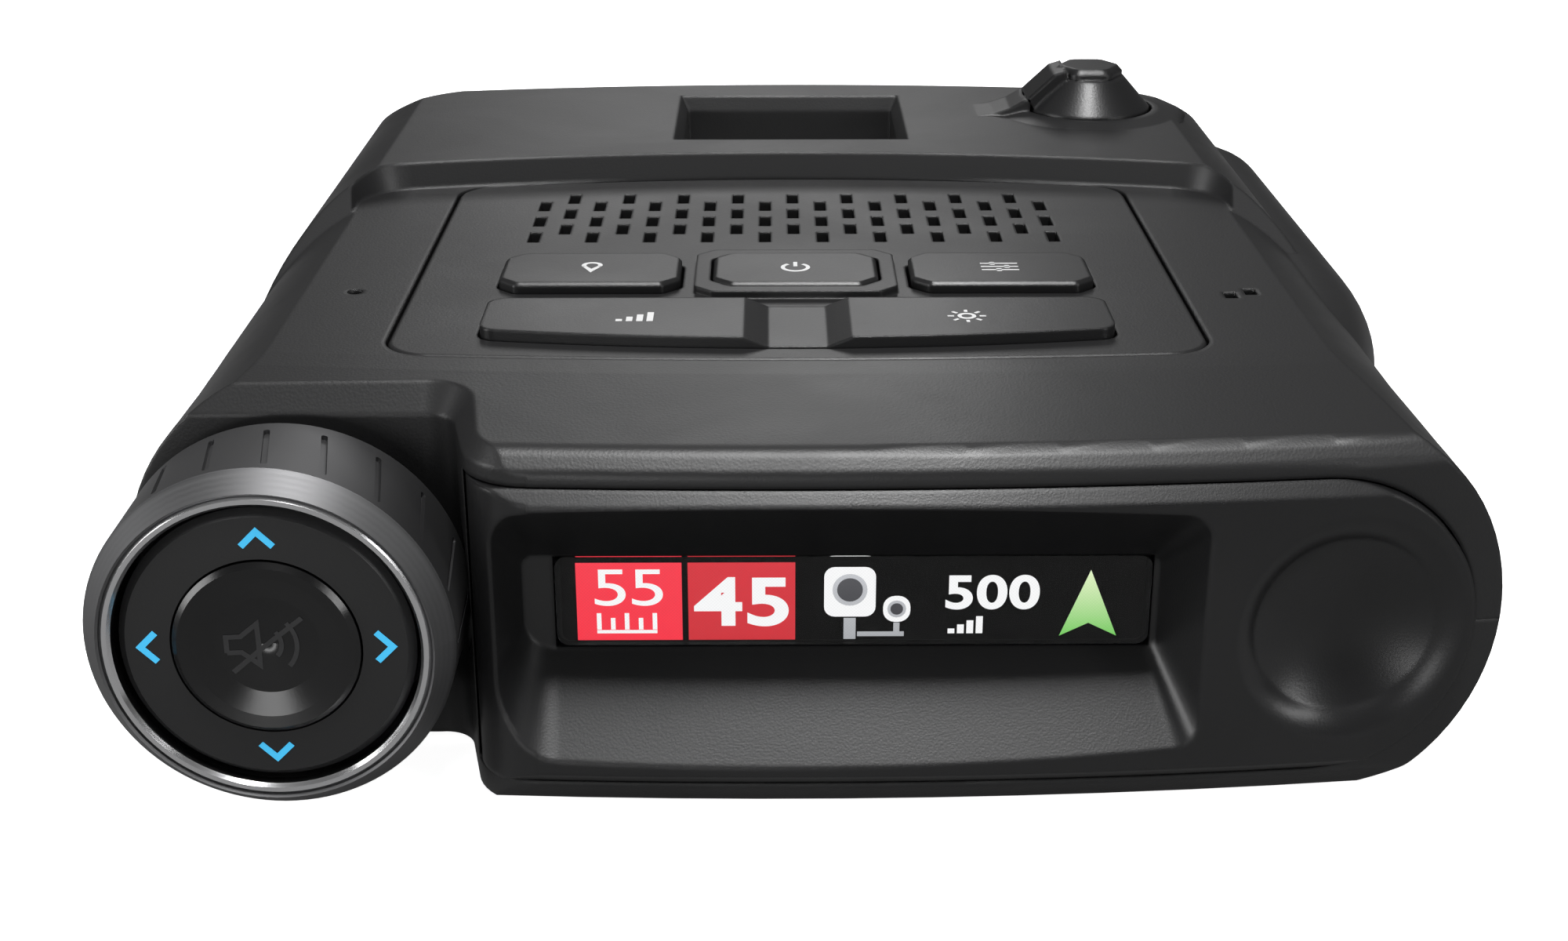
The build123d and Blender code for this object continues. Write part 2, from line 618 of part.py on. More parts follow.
with BuildPart() as encoder_sensor:
    add(block((DIAL_X + 6.8, DIAL_X + 8.0), (POCKET_Y - 1.0 - 0.9, POCKET_Y), (DIAL_Z - 9.2, DIAL_Z - 7.6)))
save(encoder_sensor, "encoder_sensor")

with BuildPart() as pad_board:
    add(turned([(0, -47.0), (8.1, -47.0), (8.1, -48.0), (0, -48.0)]))
save(pad_board, "pad_board")

POST_R = 5.3
with BuildPart() as pad_switches:
    for angle in (45, 135, 225, 315):
        x = DIAL_X + POST_R * cos(radians(angle))
        z = DIAL_Z + POST_R * sin(radians(angle))
        add(rod(x, -48.9, z, 0.9, 0.9, "Y"))
    add(rod(DIAL_X, -48.9, DIAL_Z, 1.2, 0.9, "Y"))
save(pad_switches, "pad_switches")

with BuildPart() as gimbal_ring:
    add(turned([(6.9, PIVOT_Y - 0.7), (7.6, PIVOT_Y - 0.7), (7.6, PIVOT_Y + 0.7), (6.9, PIVOT_Y + 0.7)]))
    for side in (-1, 1):
        add(rod(DIAL_X, PIVOT_Y, DIAL_Z + side * 7.3 - 0.0, PIN_R, side * 1.4))
        add(rod(DIAL_X + side * 7.2, PIVOT_Y, DIAL_Z, PIN_R, side * -1.5, "X"))
save(gimbal_ring, "gimbal_ring")

with BuildPart() as direction_pad:
    add(turned([(MUTE_R + 0.15, PAD_FACE - 0.05), (PAD_R - 0.5, PAD_FACE), (PAD_R, PAD_FACE + 0.5),
                (PAD_R, -53.6), (5.0, -53.6), (5.0, -54.0), (MUTE_R + 0.15, -54.0)]))
    for side in (-1, 1):
        x = DIAL_X + side * 6.2
        add(block((x - 0.45, x + 0.45), (-53.8, PIVOT_Y + 1.1), (DIAL_Z - 1.2, DIAL_Z + 1.2)))
    for angle in (45, 135, 225, 315):
        x = DIAL_X + POST_R * cos(radians(angle))
        z = DIAL_Z + POST_R * sin(radians(angle))
        add(rod(x, -53.8, z, 0.55, 4.35, "Y"))
    add(rod(DIAL_X - 8, PIVOT_Y, DIAL_Z, PIN_R + RUN, 16, "X"), mode=Mode.SUBTRACT)
save(direction_pad, "direction_pad")

with BuildPart() as mute_button:
    add(turned([(0, -55.0), (0, -54.5), (MUTE_R, -54.5), (MUTE_R, -55.6), (MUTE_R - 0.35, -55.9), (MUTE_R - 1.1, -55.75),
                (MUTE_R - 2.6, -55.3)]))
    add(rod(DIAL_X, -54.8, DIAL_Z, 1.2, 5.2, "Y"))
save(mute_button, "mute_button")

# ---------------------------------------------------------------- keypad
key_y = (KEY_FRONT + KEY_REAR) / 2
key_l = KEY_REAR - KEY_FRONT
KEY_TOP = CONSOLE_Z + KEY_RISE


def key_plan(x_mid, width, front, rear):
    """Key outline with snipped corners."""
    with BuildSketch() as plan:
        with Locations((x_mid, (front + rear) / 2)):
            Rectangle(width, rear - front)
        chamfer(plan.vertices(), 1.3)
        fillet(plan.vertices(), 0.6)
    return plan.sketch


with BuildSketch() as bar_sketch:
    with BuildLine():
        Polyline((-BAR_X, BAR_FRONT + 1.0), (-BAR_X, BAR_REAR), (BAR_X, BAR_REAR), (BAR_X, BAR_FRONT + 1.0))
        ThreePointArc((BAR_X, BAR_FRONT + 1.0), (0, BAR_FRONT - 0.9), (-BAR_X, BAR_FRONT + 1.0))
    make_face()
    fillet(bar_sketch.vertices(), 1.3)
bar_plan = bar_sketch.sketch
KEY_PLANS = {
    "mark_key": key_plan(-15.3, 13.4, KEY_FRONT, KEY_REAR),
    "power_key": key_plan(0, 12.3, KEY_FRONT, KEY_REAR),
    "program_key": key_plan(15.35, 13.5, KEY_FRONT, KEY_REAR),
}
POWER_FRAME = key_plan(0, 15.0, KEY_FRONT - 1.35, KEY_REAR + 1.35)
slots = [
    (SLOT_PITCH * column, SLOT_FRONT + SLOT_PITCH * (2 * row + (column + 1) % 2))
    for column in range(-9, 10)
    for row in range(3)
]

with BuildPart() as keypad_panel:
    add(raised(panel_outline, CONSOLE_Z - PANEL_T, CONSOLE_Z))
    chamfer(keypad_panel.faces().sort_by(Axis.Z)[-1].edges(), 0.22)
    add(raised(POWER_FRAME, CONSOLE_Z - 0.2, CONSOLE_Z + 0.6))
    for y in (BAR_REAR + 0.7, BAR_FRONT - 1.55):
        add(block((-1.5, 1.5), (y - 0.38, y + 0.4), (23.2, 24.8)))
    for plan in KEY_PLANS.values():
        add(raised(plan, 20, 30, KEY_GAP), mode=Mode.SUBTRACT)
    add(raised(bar_plan, 24.0, 30, KEY_GAP), mode=Mode.SUBTRACT)
    add(rod(0, BAR_FRONT - 3, BAR_PIVOT_Z, 0.6, 14, "Y"), mode=Mode.SUBTRACT)
    with BuildSketch(Plane.XY.offset(20)):
        with Locations(slots):
            Rectangle(SLOT_W, SLOT_L)
    extrude(amount=10, mode=Mode.SUBTRACT)
save(keypad_panel, "keypad_panel")

for name, plan in KEY_PLANS.items():
    with BuildPart() as key:
        add(raised(plan, 23.9, KEY_TOP))
        chamfer(key.faces().sort_by(Axis.Z)[-1].edges(), 0.25)
        add(raised(plan, 23.4, 24.3, 0.6))
    save(key, name)

with BuildPart() as level_bar:
    add(raised(bar_plan, 24.2, KEY_TOP))
    with BuildSketch(Plane.XZ.offset(45)):
        with BuildLine():
            Polyline((-3.9, KEY_TOP + 0.05), (-2.0, CONSOLE_Z + 0.1), (2.0, CONSOLE_Z + 0.1), (3.9, KEY_TOP + 0.05),
                     close=True)
        make_face()
    extrude(amount=20, dir=(0, 1, 0), mode=Mode.SUBTRACT)
    add(block((-1.5, 1.5), (BAR_FRONT - 0.4, BAR_REAR - 1.2), (23.0, 24.5)))
    add(rod(0, BAR_FRONT - 3, BAR_PIVOT_Z, 0.6 + RUN, 12, "Y"), mode=Mode.SUBTRACT)
save(level_bar, "level_bar")

with BuildPart() as bar_pivot:
    add(rod(0, BAR_FRONT - 1.8, BAR_PIVOT_Z, 0.6 - 0.02, 10.7, "Y"))
save(bar_pivot, "bar_pivot")

with BuildPart() as keypad_membrane:
    add(block((-25.5, 25.5), (-38.4, -15.8), (21.6, 22.4)))
save(keypad_membrane, "keypad_membrane")

with BuildPart() as key_board:
    add(block((-25.5, 25.5), (-38.4, -15.8), (19.6, 20.8)))
save(key_board, "key_board")

with BuildPart() as key_switches:
    for x, y in [(-15.3, key_y), (0, key_y), (15.35, key_y), (-14, -32.6), (14, -32.6)]:
        add(rod(x, y, 20.8, 2.2, 0.8))
save(key_switches, "key_switches")

# ---------------------------------------------------------------- sound
with BuildPart() as speaker:
    with BuildSketch(Plane.XY.offset(17.6)):
        with Locations((0, -4.6)):
            RectangleRounded(42.0, 17.6, 6.0)
    extrude(amount=6.5)
    with BuildSketch(Plane.XY.offset(24.1)):
        with Locations((0, -4.6)):
            RectangleRounded(37.0, 13.0, 5.0)
    extrude(amount=-1.5, mode=Mode.SUBTRACT)
save(speaker, "speaker")

with BuildPart() as speaker_mesh:
    with BuildSketch(Plane.XY.offset(24.1)):
        with Locations((0, -4.6)):
            RectangleRounded(44.0, 18.4, 3.0)
    extrude(amount=0.5)
save(speaker_mesh, "speaker_mesh")

with BuildPart() as microphone:
    add(rod(-32.5, -24.7, 21.6, 1.6, 2.4))
save(microphone, "microphone")

with BuildPart() as light_sensor:
    add(block((30.9, 34.5), (-27.2, -23.8), (21.4, 24.0)))
save(light_sensor, "light_sensor")

# ---------------------------------------------------------------- boards and receivers
with BuildPart() as main_board:
    with BuildSketch(Plane.XY.offset(5.0)):
        with Locations((0, -7)):
            Rectangle(58, 70)
        with Locations((34, 3)):
            Rectangle(11.6, 56)
        with Locations([Location((x, y)) for x, y in POSTS]):
            Circle(4.6, mode=Mode.SUBTRACT)
    extrude(amount=1.2)
save(main_board, "main_board")

with BuildPart() as shield_cans:
    with BuildSketch(Plane.XY.offset(6.2)):
        with Locations((-12, -24), (9, -24)):
            RectangleRounded(18, 16, 1.0)
        with Locations((-14, -3)):
            RectangleRounded(22, 18, 1.0)
    extrude(amount=2.4)
save(shield_cans, "shield_cans")

with BuildPart() as board_screws:
    with Locations([Location((x, y, 6.2)) for x, y in [(-24, -30), (24, -30), (-24, 22), (24, 22)]]):
        Cylinder(1.8, 1.0, align=(Align.CENTER, Align.CENTER, Align.MIN))
save(board_screws, "board_screws")

with BuildPart() as wireless_module:
    add(block((6, 20), (-8, 6), (6.2, 8.4)))
save(wireless_module, "wireless_module")

with BuildPart() as backup_capacitor:
    add(rod(-22, 12, 11.0, 4.0, 14, "X"))
    add(block((-22, -8), (9.5, 14.5), (6.2, 9.0)))
save(backup_capacitor, "backup_capacitor")

with BuildPart() as gps_antenna:
    add(block((-30.5, -12.5), (12, 30), (22.2, 26.2)))
save(gps_antenna, "gps_antenna")

with BuildPart() as radar_board:
    add(block((-16, 16), (30.5, 45.0), (3.0, 4.2)))
save(radar_board, "radar_board")

with BuildPart() as radar_horn:
    add(block((-12, 4), (31, 43), (4.2, 14.8)))
    with BuildSketch(Plane.XZ.offset(-43)):
        with Locations((-4, 9.5)):
            Rectangle(12, 6)
    with BuildSketch(Plane.XZ.offset(-52.2)):
        with Locations((-4, 9.5)):
            Rectangle(27, 11.4)
    loft()
    with BuildSketch(Plane.XZ.offset(-40)):
        with Locations((-4, 9.5)):
            Rectangle(8, 3.6)
    with BuildSketch(Plane.XZ.offset(-52.21)):
        with Locations((-4, 9.5)):
            Rectangle(25, 9.4)
    loft(mode=Mode.SUBTRACT)
save(radar_horn, "radar_horn")

with BuildPart() as laser_board:
    add(block((14, 28), (47.0, 48.2), (4.4, 15.4)))
save(laser_board, "laser_board")

with BuildPart() as laser_lens:
    add(rod(21, 48.2, 9.6, 4.4, 3.0, "Y"))
    with BuildSketch(Plane((21, 51.2, 9.6), x_dir=(1, 0, 0), z_dir=(0, 1, 0))):
        Circle(4.0)
    extrude(amount=1.2, taper=35)
save(laser_lens, "laser_lens")

# ---------------------------------------------------------------- windscreen mount
mount_mid = sum(MOUNT_Y) / 2
with BuildPart() as mount_plate:
    with BuildSketch(Plane.XY.offset(MOUNT_FLOOR)):
        with Locations((0, mount_mid)):
            RectangleRounded(2 * MOUNT_X - 2.0, MOUNT_Y[1] - MOUNT_Y[0] - 2.0, 1.0)
    extrude(amount=0.6)
save(mount_plate, "mount_plate")

with BuildPart() as mount_magnets:
    with Locations((-5, mount_mid, 18.05), (5, mount_mid, 18.05)):
        Cylinder(4.0, 2.9, align=(Align.CENTER, Align.CENTER, Align.MIN))
save(mount_magnets, "mount_magnets")

# ---------------------------------------------------------------- ports
with BuildPart() as power_socket:
    add(block((32.5, BLOCK_X - 0.6), (POWER_Y - 5.3, POWER_Y + 5.3), (PORT_Z - 1.8, PORT_Z + 3.9)))
    add(block((34.5, 48), (POWER_Y - 4.3, POWER_Y + 4.3), (PORT_Z - 1.7, PORT_Z + 3.0)), mode=Mode.SUBTRACT)
save(power_socket, "power_socket")

with BuildPart() as audio_jack:
    add(block((32.5, 40.6), (AUDIO_Y - 2.9, AUDIO_Y + 2.9), (6.2, PORT_Z + 2.6)))
    add(rod(40.6, AUDIO_Y, PORT_Z, 3.0, BLOCK_X - 0.5 - 40.6, "X"))
    add(rod(33.5, AUDIO_Y, PORT_Z, 1.8, 14, "X"), mode=Mode.SUBTRACT)
save(audio_jack, "audio_jack")

with BuildPart() as usb_port:
    add(block((36.5, BLOCK_X - 0.6), (USB_Y - 4.0, USB_Y + 4.0), (6.4, PORT_Z + 1.6)))
    add(block((38.0, 48), (USB_Y - 3.6, USB_Y + 3.6), (6.8, PORT_Z + 1.2)), mode=Mode.SUBTRACT)
save(usb_port, "usb_port")

with BuildPart() as card_slot:
    add(block((30.0, 40.4), (CARD_Y - 6.6, CARD_Y + 6.6), (6.6, PORT_Z + 1.4)))
    add(block((30.6, 48), (CARD_Y - 5.6, CARD_Y + 5.6), (7.4, PORT_Z + 0.6)), mode=Mode.SUBTRACT)
save(card_slot, "card_slot")

with BuildPart() as memory_card:
    add(block((30.7, BLOCK_X - 0.3), (CARD_Y - 5.5, CARD_Y + 5.5), (7.5, 8.45)))
save(memory_card, "memory_card")

# ---------------------------------------------------------------- camera turret
BALL_R = 4.0


def cap_outline(place, inset):
    """Six-sided outline with rounded corners for the cap of the turret."""
    with BuildSketch(Plane.XY.offset(place)) as outline:
        with Locations((CAMERA_X, CAMERA_Y)):
            RegularPolygon(3.3 - inset, 6)
        fillet(outline.vertices(), 1.0 - 0.3 * inset)
    return outline.sketch


with BuildPart() as camera_cowl:
    with BuildSketch(Plane.XZ.offset(-CAMERA_Y)):
        with BuildLine():
            Polyline((CAMERA_X, 19.8), (CAMERA_X + 6.6, 19.8), (CAMERA_X + 6.6, 25.4),
                     (CAMERA_X + TURRET_R, 25.4), (CAMERA_X + TURRET_R, 28.5), (CAMERA_X + 3.3, TURRET_TOP - 1.0),
                     (CAMERA_X + 2.8, TURRET_TOP - 0.9), (CAMERA_X, TURRET_TOP - 0.9), close=True)
        make_face()
    revolve(axis=Axis((CAMERA_X, CAMERA_Y, 0), (0, 0, 1)))
    # six-sided cap
    add(cap_outline(TURRET_TOP - 0.9, 0.0))
    extrude(amount=0.4, dir=(0, 0, 1))
    add(cap_outline(TURRET_TOP - 0.5, 0.0))
    add(cap_outline(TURRET_TOP, 0.5))
    loft()
    # stay on the left that carries on from the ramp on the deck to the cap
    with BuildSketch(Plane.XZ.offset(STAY_W / 2 - CAMERA_Y)):
        with BuildLine():
            Polyline((CAMERA_X - 5.2, HUMP_Z + 0.6), (CAMERA_X - 5.95, HUMP_Z + 1.55),
                     (CAMERA_X - 3.5, TURRET_TOP - 0.45), (CAMERA_X - 2.4, TURRET_TOP - 0.1),
                     (CAMERA_X - 1.8, HUMP_Z + 0.6), close=True)
        make_face()
    extrude(amount=-STAY_W)
    with Locations((CAMERA_X, CAMERA_Y, CAMERA_Z)):
        Sphere(BALL_R + 0.25, mode=Mode.SUBTRACT)
    with BuildSketch(Plane.XY.offset(19.0)):
        with Locations((CAMERA_X, CAMERA_Y)):
            Circle(3.6)
    extrude(amount=7.0, mode=Mode.SUBTRACT)
    with BuildSketch(Plane.XZ.offset(-CAMERA_Y - 1.0)):
        with Locations((CAMERA_X, CAMERA_Z + 0.6)):
            Rectangle(6.0, 5.0)
    extrude(amount=-8, mode=Mode.SUBTRACT)
    for side in (-1, 1):
        add(rod(CAMERA_X + side * 3.0, CAMERA_Y, CAMERA_Z, 0.8 + RUN, side * 2.0, "X"), mode=Mode.SUBTRACT)
save(camera_cowl, "camera_cowl")

with BuildPart() as camera_ball:
    with BuildSketch(Plane.XY.offset(CAMERA_Z)):
        with BuildLine():
            CenterArc((CAMERA_X, CAMERA_Y), BALL_R, -90, arc_size=128)
            Polyline((CAMERA_X + BALL_R * cos(radians(38)), CAMERA_Y + BALL_R * sin(radians(38))),
                     (CAMERA_X + 2.6, CAMERA_Y + BALL_R * sin(radians(38))), (CAMERA_X + 2.6, CAMERA_Y + 1.6),
                     (CAMERA_X, CAMERA_Y + 1.6), (CAMERA_X, CAMERA_Y - BALL_R))
        make_face()
    revolve(axis=Axis((CAMERA_X, CAMERA_Y, CAMERA_Z), (0, 1, 0)))
    for side in (-1, 1):
        add(rod(CAMERA_X + side * 3.0, CAMERA_Y, CAMERA_Z, 0.8, side * 1.9, "X"))
save(camera_ball, "camera_ball")

with BuildPart() as camera_lens:
    add(rod(CAMERA_X, CAMERA_Y + 1.6, CAMERA_Z, 2.6, 0.8, "Y"))
save(camera_lens, "camera_lens")

with BuildPart() as camera_board:
    add(block((23.4, 32.6), (21.0, 28.0), (18.8, 19.8)))
save(camera_board, "camera_board")
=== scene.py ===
import math
import bmesh
import bpy
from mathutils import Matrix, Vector


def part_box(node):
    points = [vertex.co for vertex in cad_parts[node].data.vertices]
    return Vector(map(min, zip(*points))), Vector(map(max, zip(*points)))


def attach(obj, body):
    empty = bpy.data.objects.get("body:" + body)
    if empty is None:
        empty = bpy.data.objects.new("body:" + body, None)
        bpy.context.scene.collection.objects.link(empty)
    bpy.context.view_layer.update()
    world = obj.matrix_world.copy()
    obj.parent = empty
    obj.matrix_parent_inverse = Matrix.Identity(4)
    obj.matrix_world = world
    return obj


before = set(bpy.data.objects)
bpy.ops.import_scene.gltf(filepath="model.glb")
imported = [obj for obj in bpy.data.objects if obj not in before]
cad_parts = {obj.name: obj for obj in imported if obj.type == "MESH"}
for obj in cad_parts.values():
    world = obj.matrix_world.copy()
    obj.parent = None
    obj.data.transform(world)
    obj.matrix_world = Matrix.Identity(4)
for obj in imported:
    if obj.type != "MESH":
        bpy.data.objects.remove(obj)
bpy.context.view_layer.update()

# ---------------------------------------------------------------- studio
# A pale sweep of paper under soft lights: a box behind, a box overhead, a strip at each side and
# a low card in front. The room, and the paper as it shows in reflections, are dark enough for
# the fascia to stay nearly black.
LENS_MM = 50
SENSOR_MM = 36
NEAR_CLIP = 0.01
EYE = (-0.0019, -0.17851, 0.07469)
EYE_TILT, EYE_TURN = 67.6555, -0.3806          # degrees
LAMP_TARGET = Vector((0, 0, 0.015))            # mid height of the detector
camera_data = bpy.data.cameras.new("camera")
camera_data.lens = LENS_MM
camera_data.sensor_width = SENSOR_MM
camera_data.clip_start = NEAR_CLIP
camera = bpy.data.objects.new("camera", camera_data)
camera.location = EYE
camera.rotation_euler = (math.radians(EYE_TILT), 0, math.radians(EYE_TURN))
bpy.context.scene.collection.objects.link(camera)
bpy.context.scene.camera = camera
bpy.context.scene.view_settings.view_transform = "Standard"


def softbox(name, place, size, power):
    """Rectangular studio light that faces the detector; metres and watts."""
    data = bpy.data.lights.new(name, "AREA")
    data.shape = "RECTANGLE"
    data.size, data.size_y = size
    data.energy = power
    lamp = bpy.data.objects.new(name, data)
    lamp.location = place
    lamp.rotation_euler = (LAMP_TARGET - Vector(place)).to_track_quat("-Z", "Y").to_euler()
    bpy.context.scene.collection.objects.link(lamp)


softbox("rear_box", (-0.01, 0.66, 0.38), (0.22, 0.22), 0.42)
softbox("top_box", (0.03, -0.16, 0.70), (0.16, 0.20), 4.6)
softbox("left_strip", (-0.55, -0.20, 0.10), (0.16, 0.45), 1.6)
softbox("right_strip", (0.50, -0.40, 0.24), (0.10, 0.30), 0.8)
softbox("front_card", (-0.16, -0.62, 0.05), (0.20, 0.12), 0.55)


def wire(tree, kind, settings=None, **feeds):
    """Add a shader node and set its properties. Feeds go to sockets by name, or by number as i0, i1."""
    made = tree.nodes.new("ShaderNode" + kind)
    for key, value in (settings or {}).items():
        setattr(made, key, value)
    for key, value in feeds.items():
        numbered = key[0] == "i" and key[1:].isdigit()
        socket = made.inputs[int(key[1:]) if numbered else key.replace("_", " ")]
        if isinstance(value, bpy.types.NodeSocket):
            tree.links.new(value, socket)
        else:
            socket.default_value = value
    return made


room = bpy.data.worlds.new("room")
bpy.context.scene.world = room
room.use_nodes = True
sky = room.node_tree
sky.nodes.clear()
direction = wire(sky, "TexCoord")
parts = wire(sky, "SeparateXYZ", i0=direction.outputs["Generated"])
room_glow = wire(sky, "MapRange", i0=parts.outputs["Z"], i1=-0.2, i2=1.0, i3=0.03, i4=0.20)
seen = wire(sky, "LightPath").outputs["Is Camera Ray"]
glow = wire(sky, "MixRGB", i0=seen, i1=room_glow.outputs[0], i2=(1.0, 1.0, 1.0, 1))
backdrop = wire(sky, "Background", Color=glow.outputs[0], Strength=1.0)
sky.links.new(backdrop.outputs[0], wire(sky, "OutputWorld").inputs[0])


def finish(name, **values):
    """New material with a Principled shader whose plain sockets are set by name."""
    material = bpy.data.materials.new(name)
    material.use_nodes = True
    shader = material.node_tree.nodes["Principled BSDF"]
    for key, value in values.items():
        shader.inputs[key.replace("_", " ")].default_value = value
    return material, material.node_tree, shader


def speckle(tree, scale, detail, low, high):
    """Colour that wanders between two tones; scale is the noise's, per metre."""
    grains = wire(tree, "TexNoise", Scale=scale, Detail=detail)
    tone = wire(tree, "ValToRGB", i0=grains.outputs["Fac"])
    tone.color_ramp.elements[0].color = (*low, 1)
    tone.color_ramp.elements[1].color = (*high, 1)
    return tone.outputs[0]


PAPER_SIZE = 8
PAPER_Z = -0.0003          # just clear of the detector's flat underside
bpy.ops.mesh.primitive_grid_add(x_subdivisions=8, y_subdivisions=8, size=PAPER_SIZE, location=(0, 0, PAPER_Z))
paper = bpy.context.object
paper.name = "paper"
paper_finish, tree, shader = finish("paper_sweep", Roughness=0.9)
fibres = speckle(tree, 900.0, 3.0, (0.74, 0.74, 0.74), (0.80, 0.80, 0.80))
seen = wire(tree, "LightPath").outputs["Is Camera Ray"]
bounce = wire(tree, "MixRGB", i0=seen, i1=(0.16, 0.16, 0.16, 1), i2=fibres)
tree.links.new(bounce.outputs[0], shader.inputs["Base Color"])
shine = wire(tree, "MixRGB", i0=seen, i1=(0.10, 0.10, 0.10, 1), i2=(0.95, 0.95, 0.95, 1))
tree.links.new(shine.outputs[0], shader.inputs["Emission Color"])
shader.inputs["Emission Strength"].default_value = 1.0
paper.data.materials.append(paper_finish)

# ---------------------------------------------------------------- case
# Two shells moulded in charcoal polycarbonate, fine spark-eroded finish, joined at mid height
# and held by four screws from below. The camera cowl is moulded in the same plastic, a shade
# darker and smoother.


def group(name, **given):
    """Start a finish group: its inputs by name, with a colour or a number as the usual value."""
    tree = bpy.data.node_groups.new(name, "ShaderNodeTree")
    for key, value in given.items():
        kind = "NodeSocketColor" if isinstance(value, tuple) else "NodeSocketFloat"
        label = key.replace("_", " ")
        tree.interface.new_socket(label, in_out="INPUT", socket_type=kind).default_value = value
    for label, kind in (("Color", "Color"), ("Roughness", "Float"), ("Height", "Float")):
        tree.interface.new_socket(label, in_out="OUTPUT", socket_type="NodeSocket" + kind)
    return tree, tree.nodes.new("NodeGroupInput").outputs


def give(tree, colour, rough, height):
    """End a finish group: the colour, roughness and height that it puts out."""
    end = tree.nodes.new("NodeGroupOutput")
    for label, source in (("Color", colour), ("Roughness", rough), ("Height", height)):
        tree.links.new(source, end.inputs[label])
    return tree


def moulded_skin():
    """Spark-eroded grain, slow drift in tone and the faint sheen that handling leaves."""
    tree, given = group("moulded_skin", Tone=(0.02, 0.02, 0.02, 1), Rubbed_Tone=(0.03, 0.03, 0.03, 1),
                        Smooth=0.4, Dull=0.5, Grain_Size=5200.0)
    place = wire(tree, "TexCoord").outputs["Object"]
    grain = wire(tree, "TexNoise", Vector=place, Scale=given["Grain Size"], Detail=2.0)
    pits = wire(tree, "TexVoronoi", Vector=place, Scale=given["Grain Size"])
    drift = wire(tree, "TexNoise", Vector=place, Scale=46.0, Detail=5.0, Distortion=0.7)
    touched = wire(tree, "MapRange", i0=drift.outputs["Fac"], i1=0.38, i2=0.66)
    speck = wire(tree, "Math", {"operation": "MULTIPLY_ADD"}, i0=grain.outputs["Fac"], i1=0.35, i2=-0.12)
    mask = wire(tree, "Math", {"operation": "ADD", "use_clamp": True}, i0=touched.outputs[0],
                i1=speck.outputs[0]).outputs[0]
    colour = wire(tree, "MixRGB", i0=mask, i1=given["Tone"], i2=given["Rubbed Tone"])
    rough = wire(tree, "MapRange", i0=mask, i3=given["Dull"], i4=given["Smooth"])
    relief = wire(tree, "Math", {"operation": "ADD"}, i0=grain.outputs["Fac"], i1=pits.outputs["Distance"])
    return give(tree, colour.outputs[0], rough.outputs[0], relief.outputs[0])


def use(material, effect, bump, distance, given, edge=0.0):
    """Feed a material from a finish group; edge rounds the shading of its corners by that radius."""
    tree = material.node_tree
    shader = tree.nodes["Principled BSDF"]
    made = tree.nodes.new("ShaderNodeGroup")
    made.node_tree = effect
    for label, value in given.items():
        made.inputs[label].default_value = value
    tree.links.new(made.outputs["Color"], shader.inputs["Base Color"])
    tree.links.new(made.outputs["Roughness"], shader.inputs["Roughness"])
    raised = wire(tree, "Bump", Strength=bump, Distance=distance, Height=made.outputs["Height"])
    if edge:
        rounded = wire(tree, "Bevel", {"samples": 6}, Radius=edge)
        tree.links.new(rounded.outputs["Normal"], raised.inputs["Normal"])
    tree.links.new(raised.outputs["Normal"], shader.inputs["Normal"])
    return material


MOULDED = moulded_skin()
GRAIN_DEPTH = 0.00004


def plastic(name, tone, rubbed, smooth, dull, grain=5200.0, bump=0.12, edge=0.0, **plain):
    """Moulded plastic from two greys and two roughness values."""
    material = finish(name, **plain)[0]
    given = {"Tone": (*tone, 1), "Rubbed Tone": (*rubbed, 1)}
    given.update({"Smooth": smooth, "Dull": dull, "Grain Size": grain})
    return use(material, MOULDED, bump, GRAIN_DEPTH, given, edge)


def dress(material, *names):
    """Give CAD nodes a material in every slot."""
    for name in names:
        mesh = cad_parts[name].data
        if not mesh.materials:
            mesh.materials.append(None)
        for index in range(len(mesh.materials)):
            mesh.materials[index] = material


shell_charcoal = plastic("shell_charcoal", (0.0115, 0.0115, 0.012), (0.0165, 0.0165, 0.017), 0.36, 0.44,
                         edge=0.00045)
dress(shell_charcoal, "top_shell", "bottom_shell")
cowl_charcoal = plastic("cowl_charcoal", (0.008, 0.008, 0.0085), (0.012, 0.012, 0.0125), 0.30, 0.38,
                        edge=0.0005)
dress(cowl_charcoal, "camera_cowl")

# ---------------------------------------------------------------- fascia
# One-piece bezel in near-black ABS, polished a little finer than the case, snapped in from the
# front. It carries the display recess and the thumb dish.
fascia_black = plastic("fascia_black", (0.0075, 0.0075, 0.008), (0.011, 0.011, 0.0115), 0.30, 0.37,
                       6500.0, 0.08, 0.0005)
dress(fascia_black, "front_bezel")

# ---------------------------------------------------------------- display
# Emissive panel behind a clear cover glass whose back is masked black. Figures, two speed tiles,
# a roadside camera sign and a heading arrow are lit; they lie just inside the rear of the glass.
MM = 0.001
glass_low, glass_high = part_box("display_window")
glass, tree, shader = finish(
    "cover_glass", Base_Color=(0.93, 0.94, 0.95, 1), Transmission_Weight=1.0, IOR=1.45, Metallic=0.0,
    Specular_IOR_Level=0.1)
smears = wire(tree, "TexNoise", Scale=160.0, Detail=4.0, Distortion=1.2)
polish = wire(tree, "MapRange", i0=smears.outputs["Fac"], i1=0.35, i2=0.75, i3=0.012, i4=0.035)
tree.links.new(polish.outputs[0], shader.inputs["Roughness"])
dress(glass, "display_window")


def arc(x, y, radius, start, end, steps=16):
    """Points along an arc, angles in degrees."""
    angles = [math.radians(start + (end - start) * i / steps) for i in range(steps + 1)]
    return [(x + radius * math.cos(a), y + radius * math.sin(a)) for a in angles]


